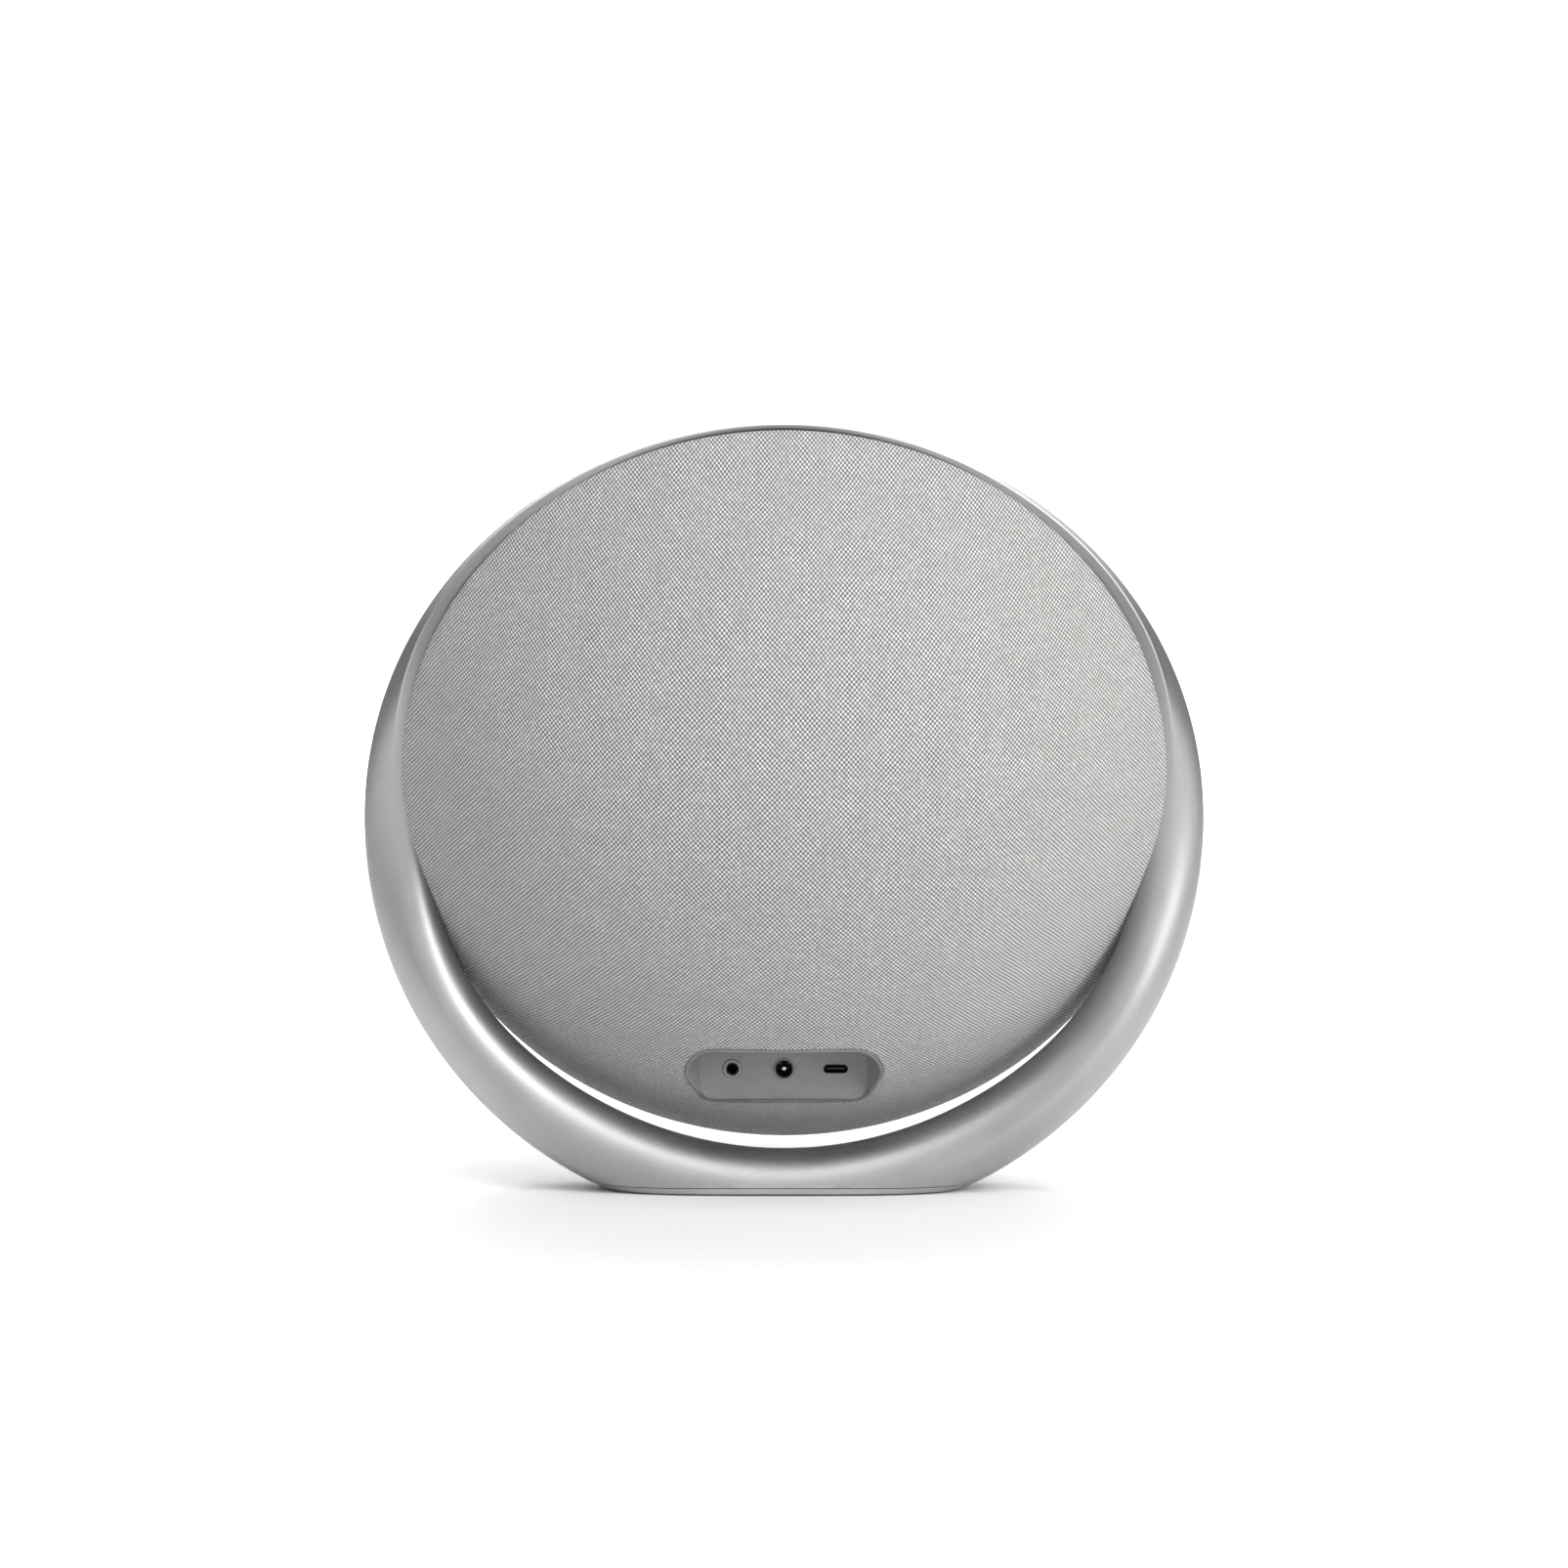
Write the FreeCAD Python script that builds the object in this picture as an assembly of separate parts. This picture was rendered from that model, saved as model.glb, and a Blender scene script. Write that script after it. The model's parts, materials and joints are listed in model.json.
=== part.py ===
import FreeCAD, Part
import math
import os

os.makedirs("parts", exist_ok=True)

V = FreeCAD.Vector

# Portable round speaker, in millimetres. The listener sits towards -Y, the ports
# face +Y and +Z is up. The origin is the centre of the foot's underside.

# Overall sizes
RING_WIDTH = 298.0          # across the ring, left to right
RING_HEIGHT = 273.0         # table to the top of the ring
RING_SINK = 14.2            # the foot cuts the ring's lower curve this far up
LEAN = 20.5                 # the body leans back from upright, degrees
SEAM_R = 136.5              # radius of the circle where the two domes meet
REAR_RISE = 70.0            # rear dome, seam plane to pole
FRONT_RISE = 78.0           # front dome, seam plane to pole
SEAM_Y = 14.0               # centre of the seam circle, behind the foot centre
SEAM_Z = 141.6              # centre of the seam circle, above the table

# Walls
FABRIC = 0.8                # knitted cover
REAR_WALL = 3.0
FRONT_WALL = 2.6
BAFFLE_WALL = 3.5
FOOT_TOP = 2.7              # parting line between ring and foot plate
SOLE = 0.6                  # rubber sole

# Ports
PORT_Z = 43.6               # centre line of the three ports
PORT_PITCH = 18.4
TRAY_Z = 42.7               # centre line of the recess
TRAY_FLOOR_Y = 8.0          # face the ports sit in
TRAY_WIDTH = 60.0           # across the flat floor
TRAY_HEIGHT = 20.0
TRAY_CORNER = 5.0           # corner radius of the floor
MOUTH_WIDTH = 68.0          # across the recess where it meets the cloth
MOUTH_DEPTH = 10.7          # floor to where the side walls stop flaring
AUX_R = 1.8                 # 3.5 mm stereo socket
DC_R = 2.75                 # 5.5 mm power socket

# Buttons
BUTTON_R = 5.5
BUTTON_GAP = 0.1            # running clearance round each cap
BUTTON_TRAVEL = 0.8
BUTTON_PITCH = 19.0
BUTTON_PROUD = 1.2
BUTTONS = ("power", "volume_down", "play", "volume_up", "pairing")
BUTTON_CIRCLE = 112.0       # distance of the caps from the body's axis

# Drivers
WOOFER_R = 58.0
TWEETER_X = 48.0
TWEETER_Y = 62.0
RADIATOR_R = 46.0

# Directions and centres that follow from the sizes above
HALF_WIDTH = RING_WIDTH / 2
RING_MID_Z = RING_HEIGHT * 0.479
HALF_HEIGHT = RING_HEIGHT - RING_MID_Z
LOWER_HEIGHT = RING_MID_Z + RING_SINK
REAR_BALL = (SEAM_R ** 2 + REAR_RISE ** 2) / (2 * REAR_RISE)
FRONT_BALL = (SEAM_R ** 2 + FRONT_RISE ** 2) / (2 * FRONT_RISE)
REAR_BALL_Z = REAR_BALL - REAR_RISE
FRONT_BALL_Z = FRONT_RISE - FRONT_BALL
PLATE_Z = FRONT_RISE * 0.44             # underside of the baffle's flat plate
PLATE_TOP = PLATE_Z + BAFFLE_WALL


def lean(shape):
    """Stand a piece drawn about the body's own axis (+Z to the listener) on its seam centre."""
    placed = shape.copy()
    placed.rotate(V(0, 0, 0), V(1, 0, 0), 90 - LEAN)
    placed.translate(V(0, SEAM_Y, SEAM_Z))
    return placed


def rod(radius, low, high, x=0.0, y=0.0):
    """Upright cylinder from low to high."""
    return Part.makeCylinder(radius, high - low, V(x, y, low))


def tube(outer, inner, low, high, x=0.0, y=0.0):
    return rod(outer, low, high, x, y).cut(rod(inner, low - 1, high + 1, x, y))


def block(x0, x1, y0, y1, z0, z1):
    return Part.makeBox(x1 - x0, y1 - y0, z1 - z0, V(x0, y0, z0))


def turned(points, angle=360.0, start=0.0):
    """Solid turned about Z from a closed profile of (radius, height) pairs."""
    corners = [V(r, 0, z) for r, z in points]
    face = Part.Face(Part.makePolygon(corners + corners[:1]))
    face.rotate(V(0, 0, 0), V(0, 0, 1), start)
    return face.revolve(V(0, 0, 0), V(0, 0, 1), angle)


def rear_cap(inset):
    """Rear dome taken in by inset, from the seam plane back."""
    ball = Part.makeSphere(REAR_BALL - inset, V(0, 0, REAR_BALL_Z))
    return ball.common(rod(SEAM_R + 5, -REAR_RISE - 5, 0))


def front_cap(inset):
    ball = Part.makeSphere(FRONT_BALL - inset, V(0, 0, FRONT_BALL_Z))
    return ball.common(rod(SEAM_R + 5, 0, FRONT_RISE + 5))


def rear_cap_z(radius, inset):
    """Height of the rear dome's inset surface at a distance from the axis."""
    return REAR_BALL_Z - math.sqrt((REAR_BALL - inset) ** 2 - radius ** 2)


def joined(shapes):
    result = shapes[0]
    for shape in shapes[1:]:
        result = result.fuse(shape)
    return result.removeSplitter()


def without(shape, tools):
    for tool in tools:
        shape = shape.cut(tool)
    return shape


def save(name, shape):
    """Write one piece, or one group of like pieces, after checking it is sound."""
    solids = shape.Solids
    if not solids or not all(solid.isValid() and solid.isClosed() for solid in solids):
        raise ValueError(name + " is not made of closed valid solids")
    result = solids[0] if len(solids) == 1 else Part.makeCompound(solids)
    result.exportStep("parts/" + name + ".step")


# ---------------------------------------------------------------- ring frame
# One closed aluminium ring: a thin ridged rim at the top that swells into a
# thick round tube at the bottom, where it stands on a flat foot.

STATION_STEP = 30.0
RING_DEPTHS = (9.0, 10.0, 14.0, 21.0, 23.5, 27.8, 29.0)     # outside to inside
CREST_IN = (0.4, 1.2, 3.3, 12.0, 11.8, 13.0, 13.8)          # outside to rear crest
FRONT_IN = (5.0, 5.0, 7.0, 10.0, 11.5, 13.0, 13.8)          # outside to front crest
CREST_Y = (48.3, 43.0, 25.0, 1.5, 5.0, 7.0, 8.0)            # rear crest behind seam centre
FRONT_Y = (28.0, 22.0, 4.0, -14.0, -26.0, -34.0, -36.0)     # front crest
INNER_SHARE = (0.8, 0.75, 0.6, 0.68, 0.66, 0.7, 0.7)         # innermost line, front to crest
ROUNDNESS = (0.0, 0.0, 0.05, 0.9, 1.0, 1.0, 1.0)            # 0 flat facets, 1 round


def station(values, angle):
    """Smooth value at an angle from the top, from values 30 degrees apart."""
    place = min(abs(angle), 360 - abs(angle)) / STATION_STEP
    last = len(values) - 1
    low = min(int(place), last - 1)
    t = place - low
    a, b = values[low], values[low + 1]
    before = values[low - 1] if low > 0 else b
    after = values[low + 2] if low + 2 <= last else a
    slope_a = (b - before) / 2
    slope_b = (after - a) / 2
    rise = 3 * t * t - 2 * t ** 3
    value = a + (b - a) * rise
    value += slope_a * (t - 2 * t * t + t ** 3) + slope_b * (t ** 3 - t * t)
    return value


def ring_section(angle):
    """Closed section of the ring: four curves through crest, outside, front and inside."""
    turn = math.radians(angle)
    reach = HALF_HEIGHT if math.cos(turn) > 0 else LOWER_HEIGHT
    out = V(reach * math.sin(turn), 0, HALF_WIDTH * math.cos(turn)).normalize()
    edge = V(HALF_WIDTH * math.sin(turn), 0, RING_MID_Z + reach * math.cos(turn))
    crest_y = station(CREST_Y, angle)
    front_y = station(FRONT_Y, angle)
    inner_y = front_y + (crest_y - front_y) * station(INNER_SHARE, angle)
    corners = [
        (station(CREST_IN, angle), crest_y),
        (0.0, (crest_y + front_y) / 2),
        (station(FRONT_IN, angle), front_y),
        (station(RING_DEPTHS, angle), inner_y),
    ]
    round_part = max(0.0, min(1.0, station(ROUNDNESS, angle)))
    edges = []
    for index in range(4):
        start = corners[index]
        end = corners[(index + 1) % 4]
        if index % 2 == 0:
            square = (end[0], start[1])
        else:
            square = (start[0], end[1])
        points = [start]
        for near, far in ((start, end), (end, start)):
            third = [near[k] + (far[k] - near[k]) / 3 for k in (0, 1)]
            full = [near[k] + (square[k] - near[k]) * 0.5523 for k in (0, 1)]
            points.append([third[k] + (full[k] - third[k]) * round_part for k in (0, 1)])
        points.append(end)
        curve = Part.BezierCurve()
        curve.setPoles([edge - out * n + V(0, SEAM_Y + y, 0) for n, y in points])
        edges.append(curve.toShape())
    return Part.Wire(edges)


ring_loft = Part.makeLoft([ring_section(a) for a in range(-15, 196, 15)], True, False)
half_ring = ring_loft.common(block(0, 400, -200, 300, -60, 400))
ring_blank = half_ring.fuse(half_ring.mirror(V(0, 0, 0), V(1, 0, 0))).removeSplitter()

lens = lean(rear_cap(0).fuse(front_cap(0)))
foot_span = (-400, 400, -200, 300)
ring = ring_blank.common(block(*foot_span, FOOT_TOP, RING_HEIGHT + 9)).cut(lens)

# Six blind holes round the upper half take the screws that hold the body.
SCREW_TURNS = (-75, -45, -15, 15, 45, 75)
SCREW_R = 1.5


def ring_screw(turn):
    """Screw pointing out of the body through the front shell's rim, at a turn from the top."""
    shank = rod(SCREW_R, SEAM_R - 7, SEAM_R - 0.3)
    head = rod(2.4, SEAM_R - 9, SEAM_R - 7)
    screw = shank.fuse(head)
    screw.rotate(V(0, 0, 0), V(1, 0, 0), -90)
    screw.rotate(V(0, 0, 0), V(0, 0, 1), -turn)
    screw.translate(V(0, 0, 6.2))
    return screw


ring_screws = [ring_screw(turn) for turn in SCREW_TURNS]
for screw in ring_screws:
    ring = ring.cut(lean(screw))

# ---------------------------------------------------------------- foot
# A flat plate closes the bottom of the tube, with a rubber sole let into it.

foot_half = HALF_WIDTH * math.sqrt(1 - ((RING_MID_Z - SOLE) / LOWER_HEIGHT) ** 2)
foot_depth = CREST_Y[-1] - FRONT_Y[-1]
SOLE_X = foot_half - 6
SOLE_Y = foot_depth / 2 - 4
SOLE_MID_Y = SEAM_Y + (CREST_Y[-1] + FRONT_Y[-1]) / 2
SOLE_TOP = SOLE + 0.6


def oval(x, y, low, high):
    """Upright prism with an elliptical outline, centred on the foot."""
    curve = Part.Ellipse(V(0, SOLE_MID_Y, low), x, y).toShape()
    return Part.Face(Part.Wire(curve)).extrude(V(0, 0, high - low))


foot_blank = ring_blank.common(block(*foot_span, SOLE, FOOT_TOP))
sole = oval(SOLE_X, SOLE_Y, 0, SOLE_TOP)
FOOT_SCREWS = (-SOLE_X * 0.6, 0.0, SOLE_X * 0.6)
foot_screws = [
    rod(2.4, SOLE_TOP, SOLE_TOP + 0.6, x, SOLE_MID_Y).fuse(
        rod(1.25, SOLE_TOP + 0.6, FOOT_TOP + 5, x, SOLE_MID_Y))
    for x in FOOT_SCREWS
]
foot = foot_blank.cut(sole)
for screw in foot_screws:
    foot = foot.cut(screw)
    ring = ring.cut(screw)

save("ring_frame", ring)
save("foot_plate", foot)
save("rubber_sole", sole)
save("foot_screws", joined(foot_screws))

# ---------------------------------------------------------------- port tray
# A recess for the sockets goes straight forward into the rear dome, so its roof
# is deep and its lower lip is shallow. Drawn where it stands, not leaned. Its
# walls are one moulding, and the flat panel the ports sit in is pressed into it.

TRAY_WALL = 1.8
PANEL_THICK = 2.0
TRAY_OUT_Y = TRAY_FLOOR_Y + 32


def slot_wire(width, height, corner, y):
    """Upright rounded oblong facing +Y, centred on the recess."""
    x, z = width / 2, height / 2
    edges = []
    for side_x, side_z in ((1, 1), (1, -1), (-1, -1), (-1, 1)):
        mid = V(side_x * (x - corner), y, TRAY_Z + side_z * (z - corner))
        across = V(side_x * corner, 0, 0)
        upward = V(0, 0, side_z * corner)
        start, end = (upward, across) if side_x == side_z else (across, upward)
        bend = (across + upward) * math.sqrt(0.5)
        edges.append(Part.Arc(mid + start, mid + bend, mid + end).toShape())
    corners = list(edges)
    for index in range(4):
        last = corners[index].valueAt(corners[index].LastParameter)
        after = corners[(index + 1) % 4]
        edges.insert(2 * index + 1, Part.makeLine(last, after.valueAt(after.FirstParameter)))
    return Part.Wire(edges)


def tray_shape(grow, low_y, high_y):
    """Oblong prism along Y whose ends flare from the floor to the mouth."""
    mouth = (MOUTH_WIDTH, TRAY_HEIGHT / 2 - 0.4)
    sections = ((low_y, TRAY_WIDTH, TRAY_CORNER), (TRAY_FLOOR_Y + MOUTH_DEPTH, *mouth), (high_y, *mouth))
    wires = []
    for y, width, corner in sections:
        wires.append(slot_wire(width + 2 * grow, TRAY_HEIGHT + 2 * grow, corner + grow, y))
    return Part.makeLoft(wires, True, True)


panel_back = slot_wire(TRAY_WIDTH, TRAY_HEIGHT, TRAY_CORNER, TRAY_FLOOR_Y - PANEL_THICK)
port_panel = Part.Face(panel_back).extrude(V(0, PANEL_THICK, 0))
tray_outside = tray_shape(TRAY_WALL, TRAY_FLOOR_Y - PANEL_THICK, TRAY_OUT_Y)
tray_pocket = tray_shape(0, TRAY_FLOOR_Y, TRAY_OUT_Y + 1)
rear_ball = lean(Part.makeSphere(REAR_BALL + 0.3, V(0, 0, REAR_BALL_Z)))
tray = tray_outside.common(rear_ball).cut(tray_pocket).cut(port_panel)
gasket_outside = tray_shape(TRAY_WALL + 2.5, TRAY_FLOOR_Y - PANEL_THICK, TRAY_OUT_Y)
gasket_shell = rear_cap(FABRIC + REAR_WALL).cut(rear_cap(FABRIC + REAR_WALL + 1.5))
port_gasket = lean(gasket_shell).common(gasket_outside).cut(tray_outside)

# ---------------------------------------------------------------- ports
# Stereo socket, power socket and USB-C socket on one board behind the tray.

INNER_Y = TRAY_FLOOR_Y - PANEL_THICK
SOCKET_BACK_Y = INNER_Y - 13.0
BOARD_TOP_Z = PORT_Z - 5.0


def along_y(radius, low, high, x, z=PORT_Z):
    return Part.makeCylinder(radius, high - low, V(x, low, z), V(0, 1, 0))


def pill(width, height, low, high, x):
    """Rod along Y with a slot-shaped section."""
    r = height / 2
    side = width / 2 - r
    middle = block(x - side, x + side, low, high, PORT_Z - r, PORT_Z + r)
    ends = [along_y(r, low, high, x + side), along_y(r, low, high, x - side)]
    return joined([middle] + ends)


def round_socket(x, nose_r, hole_r, hole_depth):
    body = block(x - 5.5, x + 5.5, SOCKET_BACK_Y, INNER_Y, BOARD_TOP_Z, PORT_Z + 5)
    nose = along_y(nose_r, INNER_Y - 1, TRAY_FLOOR_Y + 0.4, x)
    mouth = Part.makeCone(hole_r + 0.5, hole_r, 0.5, V(x, TRAY_FLOOR_Y + 0.4, PORT_Z), V(0, -1, 0))
    hole = along_y(hole_r, TRAY_FLOOR_Y + 0.4 - hole_depth, TRAY_FLOOR_Y + 1, x)
    return body.fuse(nose).removeSplitter().cut(hole).cut(mouth)


# Seen from behind, the stereo socket is on the left, which is the +X side.
AUX_X = PORT_PITCH
USB_X = -PORT_PITCH
AUX_DEPTH = 14.0
DC_DEPTH = 10.0
aux_socket = round_socket(AUX_X, 3.4, AUX_R, AUX_DEPTH)
power_socket = round_socket(0, 3.75, DC_R, DC_DEPTH)
pin_back = TRAY_FLOOR_Y + 0.4 - DC_DEPTH
power_pin = along_y(1.0, pin_back - 1.5, TRAY_FLOOR_Y - 1.6, 0)
pin_tip = Part.makeCone(1.0, 0.5, 0.6, V(0, TRAY_FLOOR_Y - 1.6, PORT_Z), V(0, 1, 0))
power_pin = power_pin.fuse(pin_tip).removeSplitter()
power_socket = power_socket.cut(along_y(1.0, pin_back - 1.5, pin_back + 1, 0))

usb_out = TRAY_FLOOR_Y + 0.1
usb_back = usb_out - 9.0
usb_shell = pill(8.94, 3.26, usb_back, usb_out, USB_X)
usb_shell = usb_shell.cut(pill(8.34, 2.66, usb_back + 0.8, usb_out + 1, USB_X))
usb_tongue = block(USB_X - 3.3, USB_X + 3.3, usb_back + 0.8, usb_out - 1.0,
                   PORT_Z - 0.35, PORT_Z + 0.35)
for side in (-1, 1):
    leg_x = USB_X + side * 3.2
    leg = block(leg_x - 0.6, leg_x + 0.6, usb_back + 1, INNER_Y, BOARD_TOP_Z, PORT_Z - 1.4)
    usb_shell = usb_shell.fuse(leg.cut(pill(8.34, 2.66, usb_back, usb_out + 1, USB_X)))

port_panel = without(port_panel, [
    along_y(3.4, INNER_Y - 1, TRAY_FLOOR_Y + 1, AUX_X),
    along_y(3.75, INNER_Y - 1, TRAY_FLOOR_Y + 1, 0),
    pill(8.94, 3.26, INNER_Y - 1, TRAY_FLOOR_Y + 1, USB_X),
])
port_board = block(-PORT_PITCH - 9, PORT_PITCH + 9, SOCKET_BACK_Y - 1, INNER_Y - 4.5,
                   BOARD_TOP_Z - 1.6, BOARD_TOP_Z)

save("port_tray", tray)
save("port_panel", port_panel)
save("port_gasket", port_gasket)
save("stereo_socket", aux_socket)
save("power_socket", power_socket)
save("power_pin", power_pin)
save("usb_shell", usb_shell)
save("usb_tongue", usb_tongue)
save("port_board", port_board)

# ---------------------------------------------------------------- rear shell
# Moulded rear dome with a rim for the baffle, posts for the electronics and
# openings for the port tray and the passive radiator.

FLANGE_IN = SEAM_R - 22.5
FLANGE_OUT = SEAM_R - 8.5
GAP = 0.6                   # half the seam gasket's thickness


def post_screw(x, y, top, radius=1.3, depth=6.0):
    return rod(radius, top - depth, top, x, y).fuse(rod(radius + 1.3, top, top + 1.6, x, y))


def round_screws(x, y, radius, count, top, first=45.0):
    spots = []
    for index in range(count):
        turn = math.radians(first + index * 360 / count)
        spots.append((x + radius * math.cos(turn), y + radius * math.sin(turn)))
    return [post_screw(*spot, top, radius=1.0, depth=4.5) for spot in spots]


cells_y = (SEAM_R * 0.49, SEAM_R * 0.49 + 18.8)
CELL_R = 9.2
CELL_LENGTH = 65.0
HOLDER_LOW = -24.0
holder_x = CELL_LENGTH / 2 + 3.0
holder_y = (cells_y[0] - CELL_R - 2, cells_y[1] + CELL_R + 2)
holder_ears = [(side * (holder_x + 4), y) for side in (-1, 1) for y in (holder_y[0] + 6, holder_y[1] - 12)]
BOARD_Z = -9.0
board_x = (-SEAM_R * 0.79, -SEAM_R * 0.44)
board_y = (-38.0, 38.0)
board_posts = [(x, y) for x in (board_x[0] + 4, board_x[1] - 4) for y in (board_y[0] + 4, board_y[1] - 4)]

rear_shell = rear_cap(FABRIC).cut(rear_cap(FABRIC + REAR_WALL))
inside_rear = rear_cap(FABRIC + 1.0)
flange = tube(SEAM_R, FLANGE_IN, -6, 0).common(inside_rear)
posts = [rod(3.6, -REAR_RISE, HOLDER_LOW, x, y) for x, y in holder_ears]
posts += [rod(3.6, -REAR_RISE, BOARD_Z, x, y) for x, y in board_posts]
radiator_seat = rear_cap_z(RADIATOR_R, FABRIC + REAR_WALL) + 1.5
posts.append(tube(RADIATOR_R + 0.5, RADIATOR_R - 9, -REAR_RISE, radiator_seat))
rear_shell = joined([rear_shell, flange] + [post.common(inside_rear) for post in posts])
rear_shell = rear_shell.cut(rod(SEAM_R + 5, -GAP, 5))
GRILLE_BARS = 6
window = rod(RADIATOR_R - 14, -REAR_RISE - 1, -REAR_RISE + 12)
for bar in range(GRILLE_BARS // 2):
    cross = block(-60, 60, -1.6, 1.6, -REAR_RISE - 2, -REAR_RISE + 13)
    cross.rotate(V(0, 0, 0), V(0, 0, 1), bar * 360 / GRILLE_BARS)
    window = window.cut(cross)
rear_shell = rear_shell.cut(window)
rear_shell = lean(rear_shell).cut(tray_outside)

holder_screws = [post_screw(x, y, HOLDER_LOW + 3, depth=8) for x, y in holder_ears]
board_screws = [post_screw(x, y, BOARD_Z + 1.6) for x, y in board_posts]
radiator_screws = round_screws(0, 0, RADIATOR_R - 3.0, 6, radiator_seat + 2.5, 30)
baffle_ring = (FLANGE_OUT + FLANGE_IN) / 2 + 3.0
BAFFLE_SCREWS = 8
baffle_screws = []
for index in range(BAFFLE_SCREWS):
    turn = math.radians(22.5 + index * 360 / BAFFLE_SCREWS)
    spot = (baffle_ring * math.sin(turn), baffle_ring * math.cos(turn))
    baffle_screws.append(post_screw(*spot, 3.0, radius=1.5, depth=7.5))
for screw in holder_screws + board_screws + baffle_screws + radiator_screws:
    rear_shell = rear_shell.cut(lean(screw))

rear_fabric = lean(rear_cap(0).cut(rear_cap(FABRIC)).cut(rod(SEAM_R + 5, -GAP, 5))).cut(tray_outside)
seam_gasket = tube(SEAM_R, FLANGE_OUT + 1.5, -GAP, GAP).common(rear_cap(0).fuse(front_cap(0)))
save("rear_shell", rear_shell)
save("rear_fabric", rear_fabric)
save("seam_gasket", lean(seam_gasket))
save("ring_screws", lean(joined(ring_screws)))

# ---------------------------------------------------------------- front shell
# Moulded front grille with rows of sound slots, covered by the front fabric.

STRIP_HALF = 7.5
lean_in = math.asin(BUTTON_CIRCLE / FRONT_BALL)
STRIP_SPAN = math.degrees(2.3 * BUTTON_PITCH / BUTTON_CIRCLE)


def button_turn(steps):
    return math.degrees(steps * BUTTON_PITCH / BUTTON_CIRCLE)


def at_button(shape, steps):
    """Put a piece drawn along +Z from the front dome's centre on the button row."""
    placed = shape.copy()
    placed.rotate(V(0, 0, 0), V(1, 0, 0), -math.degrees(lean_in))
    placed.translate(V(0, 0, FRONT_BALL_Z))
    placed.rotate(V(0, 0, 0), V(0, 0, 1), -button_turn(steps))
    return placed


def strip(low, high, half):
    """Curved band along the button row between two heights on the front dome."""
    points = []
    for along, up in ((-half, low), (half, low), (half, high), (-half, high)):
        reach = FRONT_BALL + up
        r = reach * math.sin(lean_in) + along * math.cos(lean_in)
        z = reach * math.cos(lean_in) - along * math.sin(lean_in)
        points.append((r, z + FRONT_BALL_Z))
    band = turned(points, 2 * STRIP_SPAN, 90 - STRIP_SPAN)
    ends = [at_button(rod(half, FRONT_BALL + low, FRONT_BALL + high), side * 2.3) for side in (-1, 1)]
    return joined([band] + ends)


SHELL_IN = FABRIC + FRONT_WALL
front_shell = front_cap(FABRIC).cut(front_cap(SHELL_IN))
rim = tube(SEAM_R, FLANGE_OUT + 1.5, GAP, 9).common(front_cap(FABRIC + 0.5))
front_shell = joined([front_shell, rim]).cut(rod(SEAM_R + 5, -1, GAP))
SLOT_ROWS = (22.0, 38.0, 54.0, 70.0, 86.0)
slots = []
for row, radius in enumerate(SLOT_ROWS):
    count = 6 + 2 * row
    sweep = 360 / count - 4.5 * 60 / radius
    for index in range(count):
        start = index * 360 / count
        slots.append(turned([(radius, 10), (radius + 7, 10), (radius + 7, 90), (radius, 90)], sweep, start))
front_shell = without(front_shell, slots + ring_screws + [strip(-8, 4, STRIP_HALF)])
front_fabric = front_cap(0).cut(front_cap(FABRIC)).cut(rod(SEAM_R + 5, -1, GAP))
front_fabric = without(front_fabric, ring_screws + [strip(-8, 4, STRIP_HALF)])
save("front_shell", lean(front_shell))
save("front_fabric", lean(front_fabric))

# ---------------------------------------------------------------- baffle
# Raised disc on a conical wall that carries the woofer and both tweeters.

PLATE_R = SEAM_R - 43.5
baffle = turned([
    (0, PLATE_TOP), (PLATE_R, PLATE_TOP), (SEAM_R - 16.5, 3.0), (FLANGE_OUT, 3.0),
    (FLANGE_OUT, -GAP), (FLANGE_IN + 2, -GAP), (PLATE_R - 3.5, PLATE_Z), (0, PLATE_Z),
])
tweeter_spots = ((-TWEETER_X, TWEETER_Y), (TWEETER_X, TWEETER_Y))
holes = [rod(WOOFER_R - 8, PLATE_Z - 1, PLATE_TOP + 1)]
holes += [rod(11.5, PLATE_Z - 1, PLATE_TOP + 1, x, y) for x, y in tweeter_spots]
baffle = without(baffle, holes + baffle_screws)


# ---------------------------------------------------------------- woofer
# Pressed basket with a ring magnet behind it. The cone, dust cap and voice coil
# move together; the surround and the spider bend.

P = PLATE_TOP
basket = turned([
    (WOOFER_R - 8.2, P), (38, P - 26), (38, P - 28), (15, P - 28), (15, P - 26),
    (36, P - 26), (WOOFER_R - 10.5, P), (WOOFER_R - 6.5, P + 3), (WOOFER_R, P + 3), (WOOFER_R, P),
])
SPIDER_Z = P - 20.5
spider_ring = tube(38.4, 35.0, SPIDER_Z - 0.5, SPIDER_Z + 0.9)
spider_ring = spider_ring.common(turned([(0, P - 26), (36, P - 26), (WOOFER_R - 10.5, P), (0, P)]))
basket = joined([basket, spider_ring])
for index in range(6):
    opening = turned([(36, P - 18), (60, P - 18), (60, P - 5), (36, P - 5)], 34, 13 + index * 60)
    basket = basket.cut(opening)
woofer_screws = round_screws(0, 0, WOOFER_R - 3.4, 6, P + 3, 0)
basket = without(basket, woofer_screws)
baffle = without(baffle, woofer_screws)
magnet = tube(42, 21, P - 45, P - 33)
top_plate = tube(40, 14.4, P - 33, P - 28)
pole = rod(40, P - 50, P - 45).fuse(rod(12.5, P - 45, P - 28)).removeSplitter()
pole = pole.cut(rod(4, P - 51, P - 27))
cone = turned([
    (13.9, P - 16), (42.5, P + 2.4), (43.5, P + 2.4), (43.5, P + 1.4), (14.6, P - 17.2), (13.9, P - 17.2),
])
coil = tube(13.9, 13.0, P - 38, P - 16)
dust_cap = Part.makeSphere(24, V(0, 0, P - 27.2)).cut(Part.makeSphere(23.2, V(0, 0, P - 27.2)))
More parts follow.
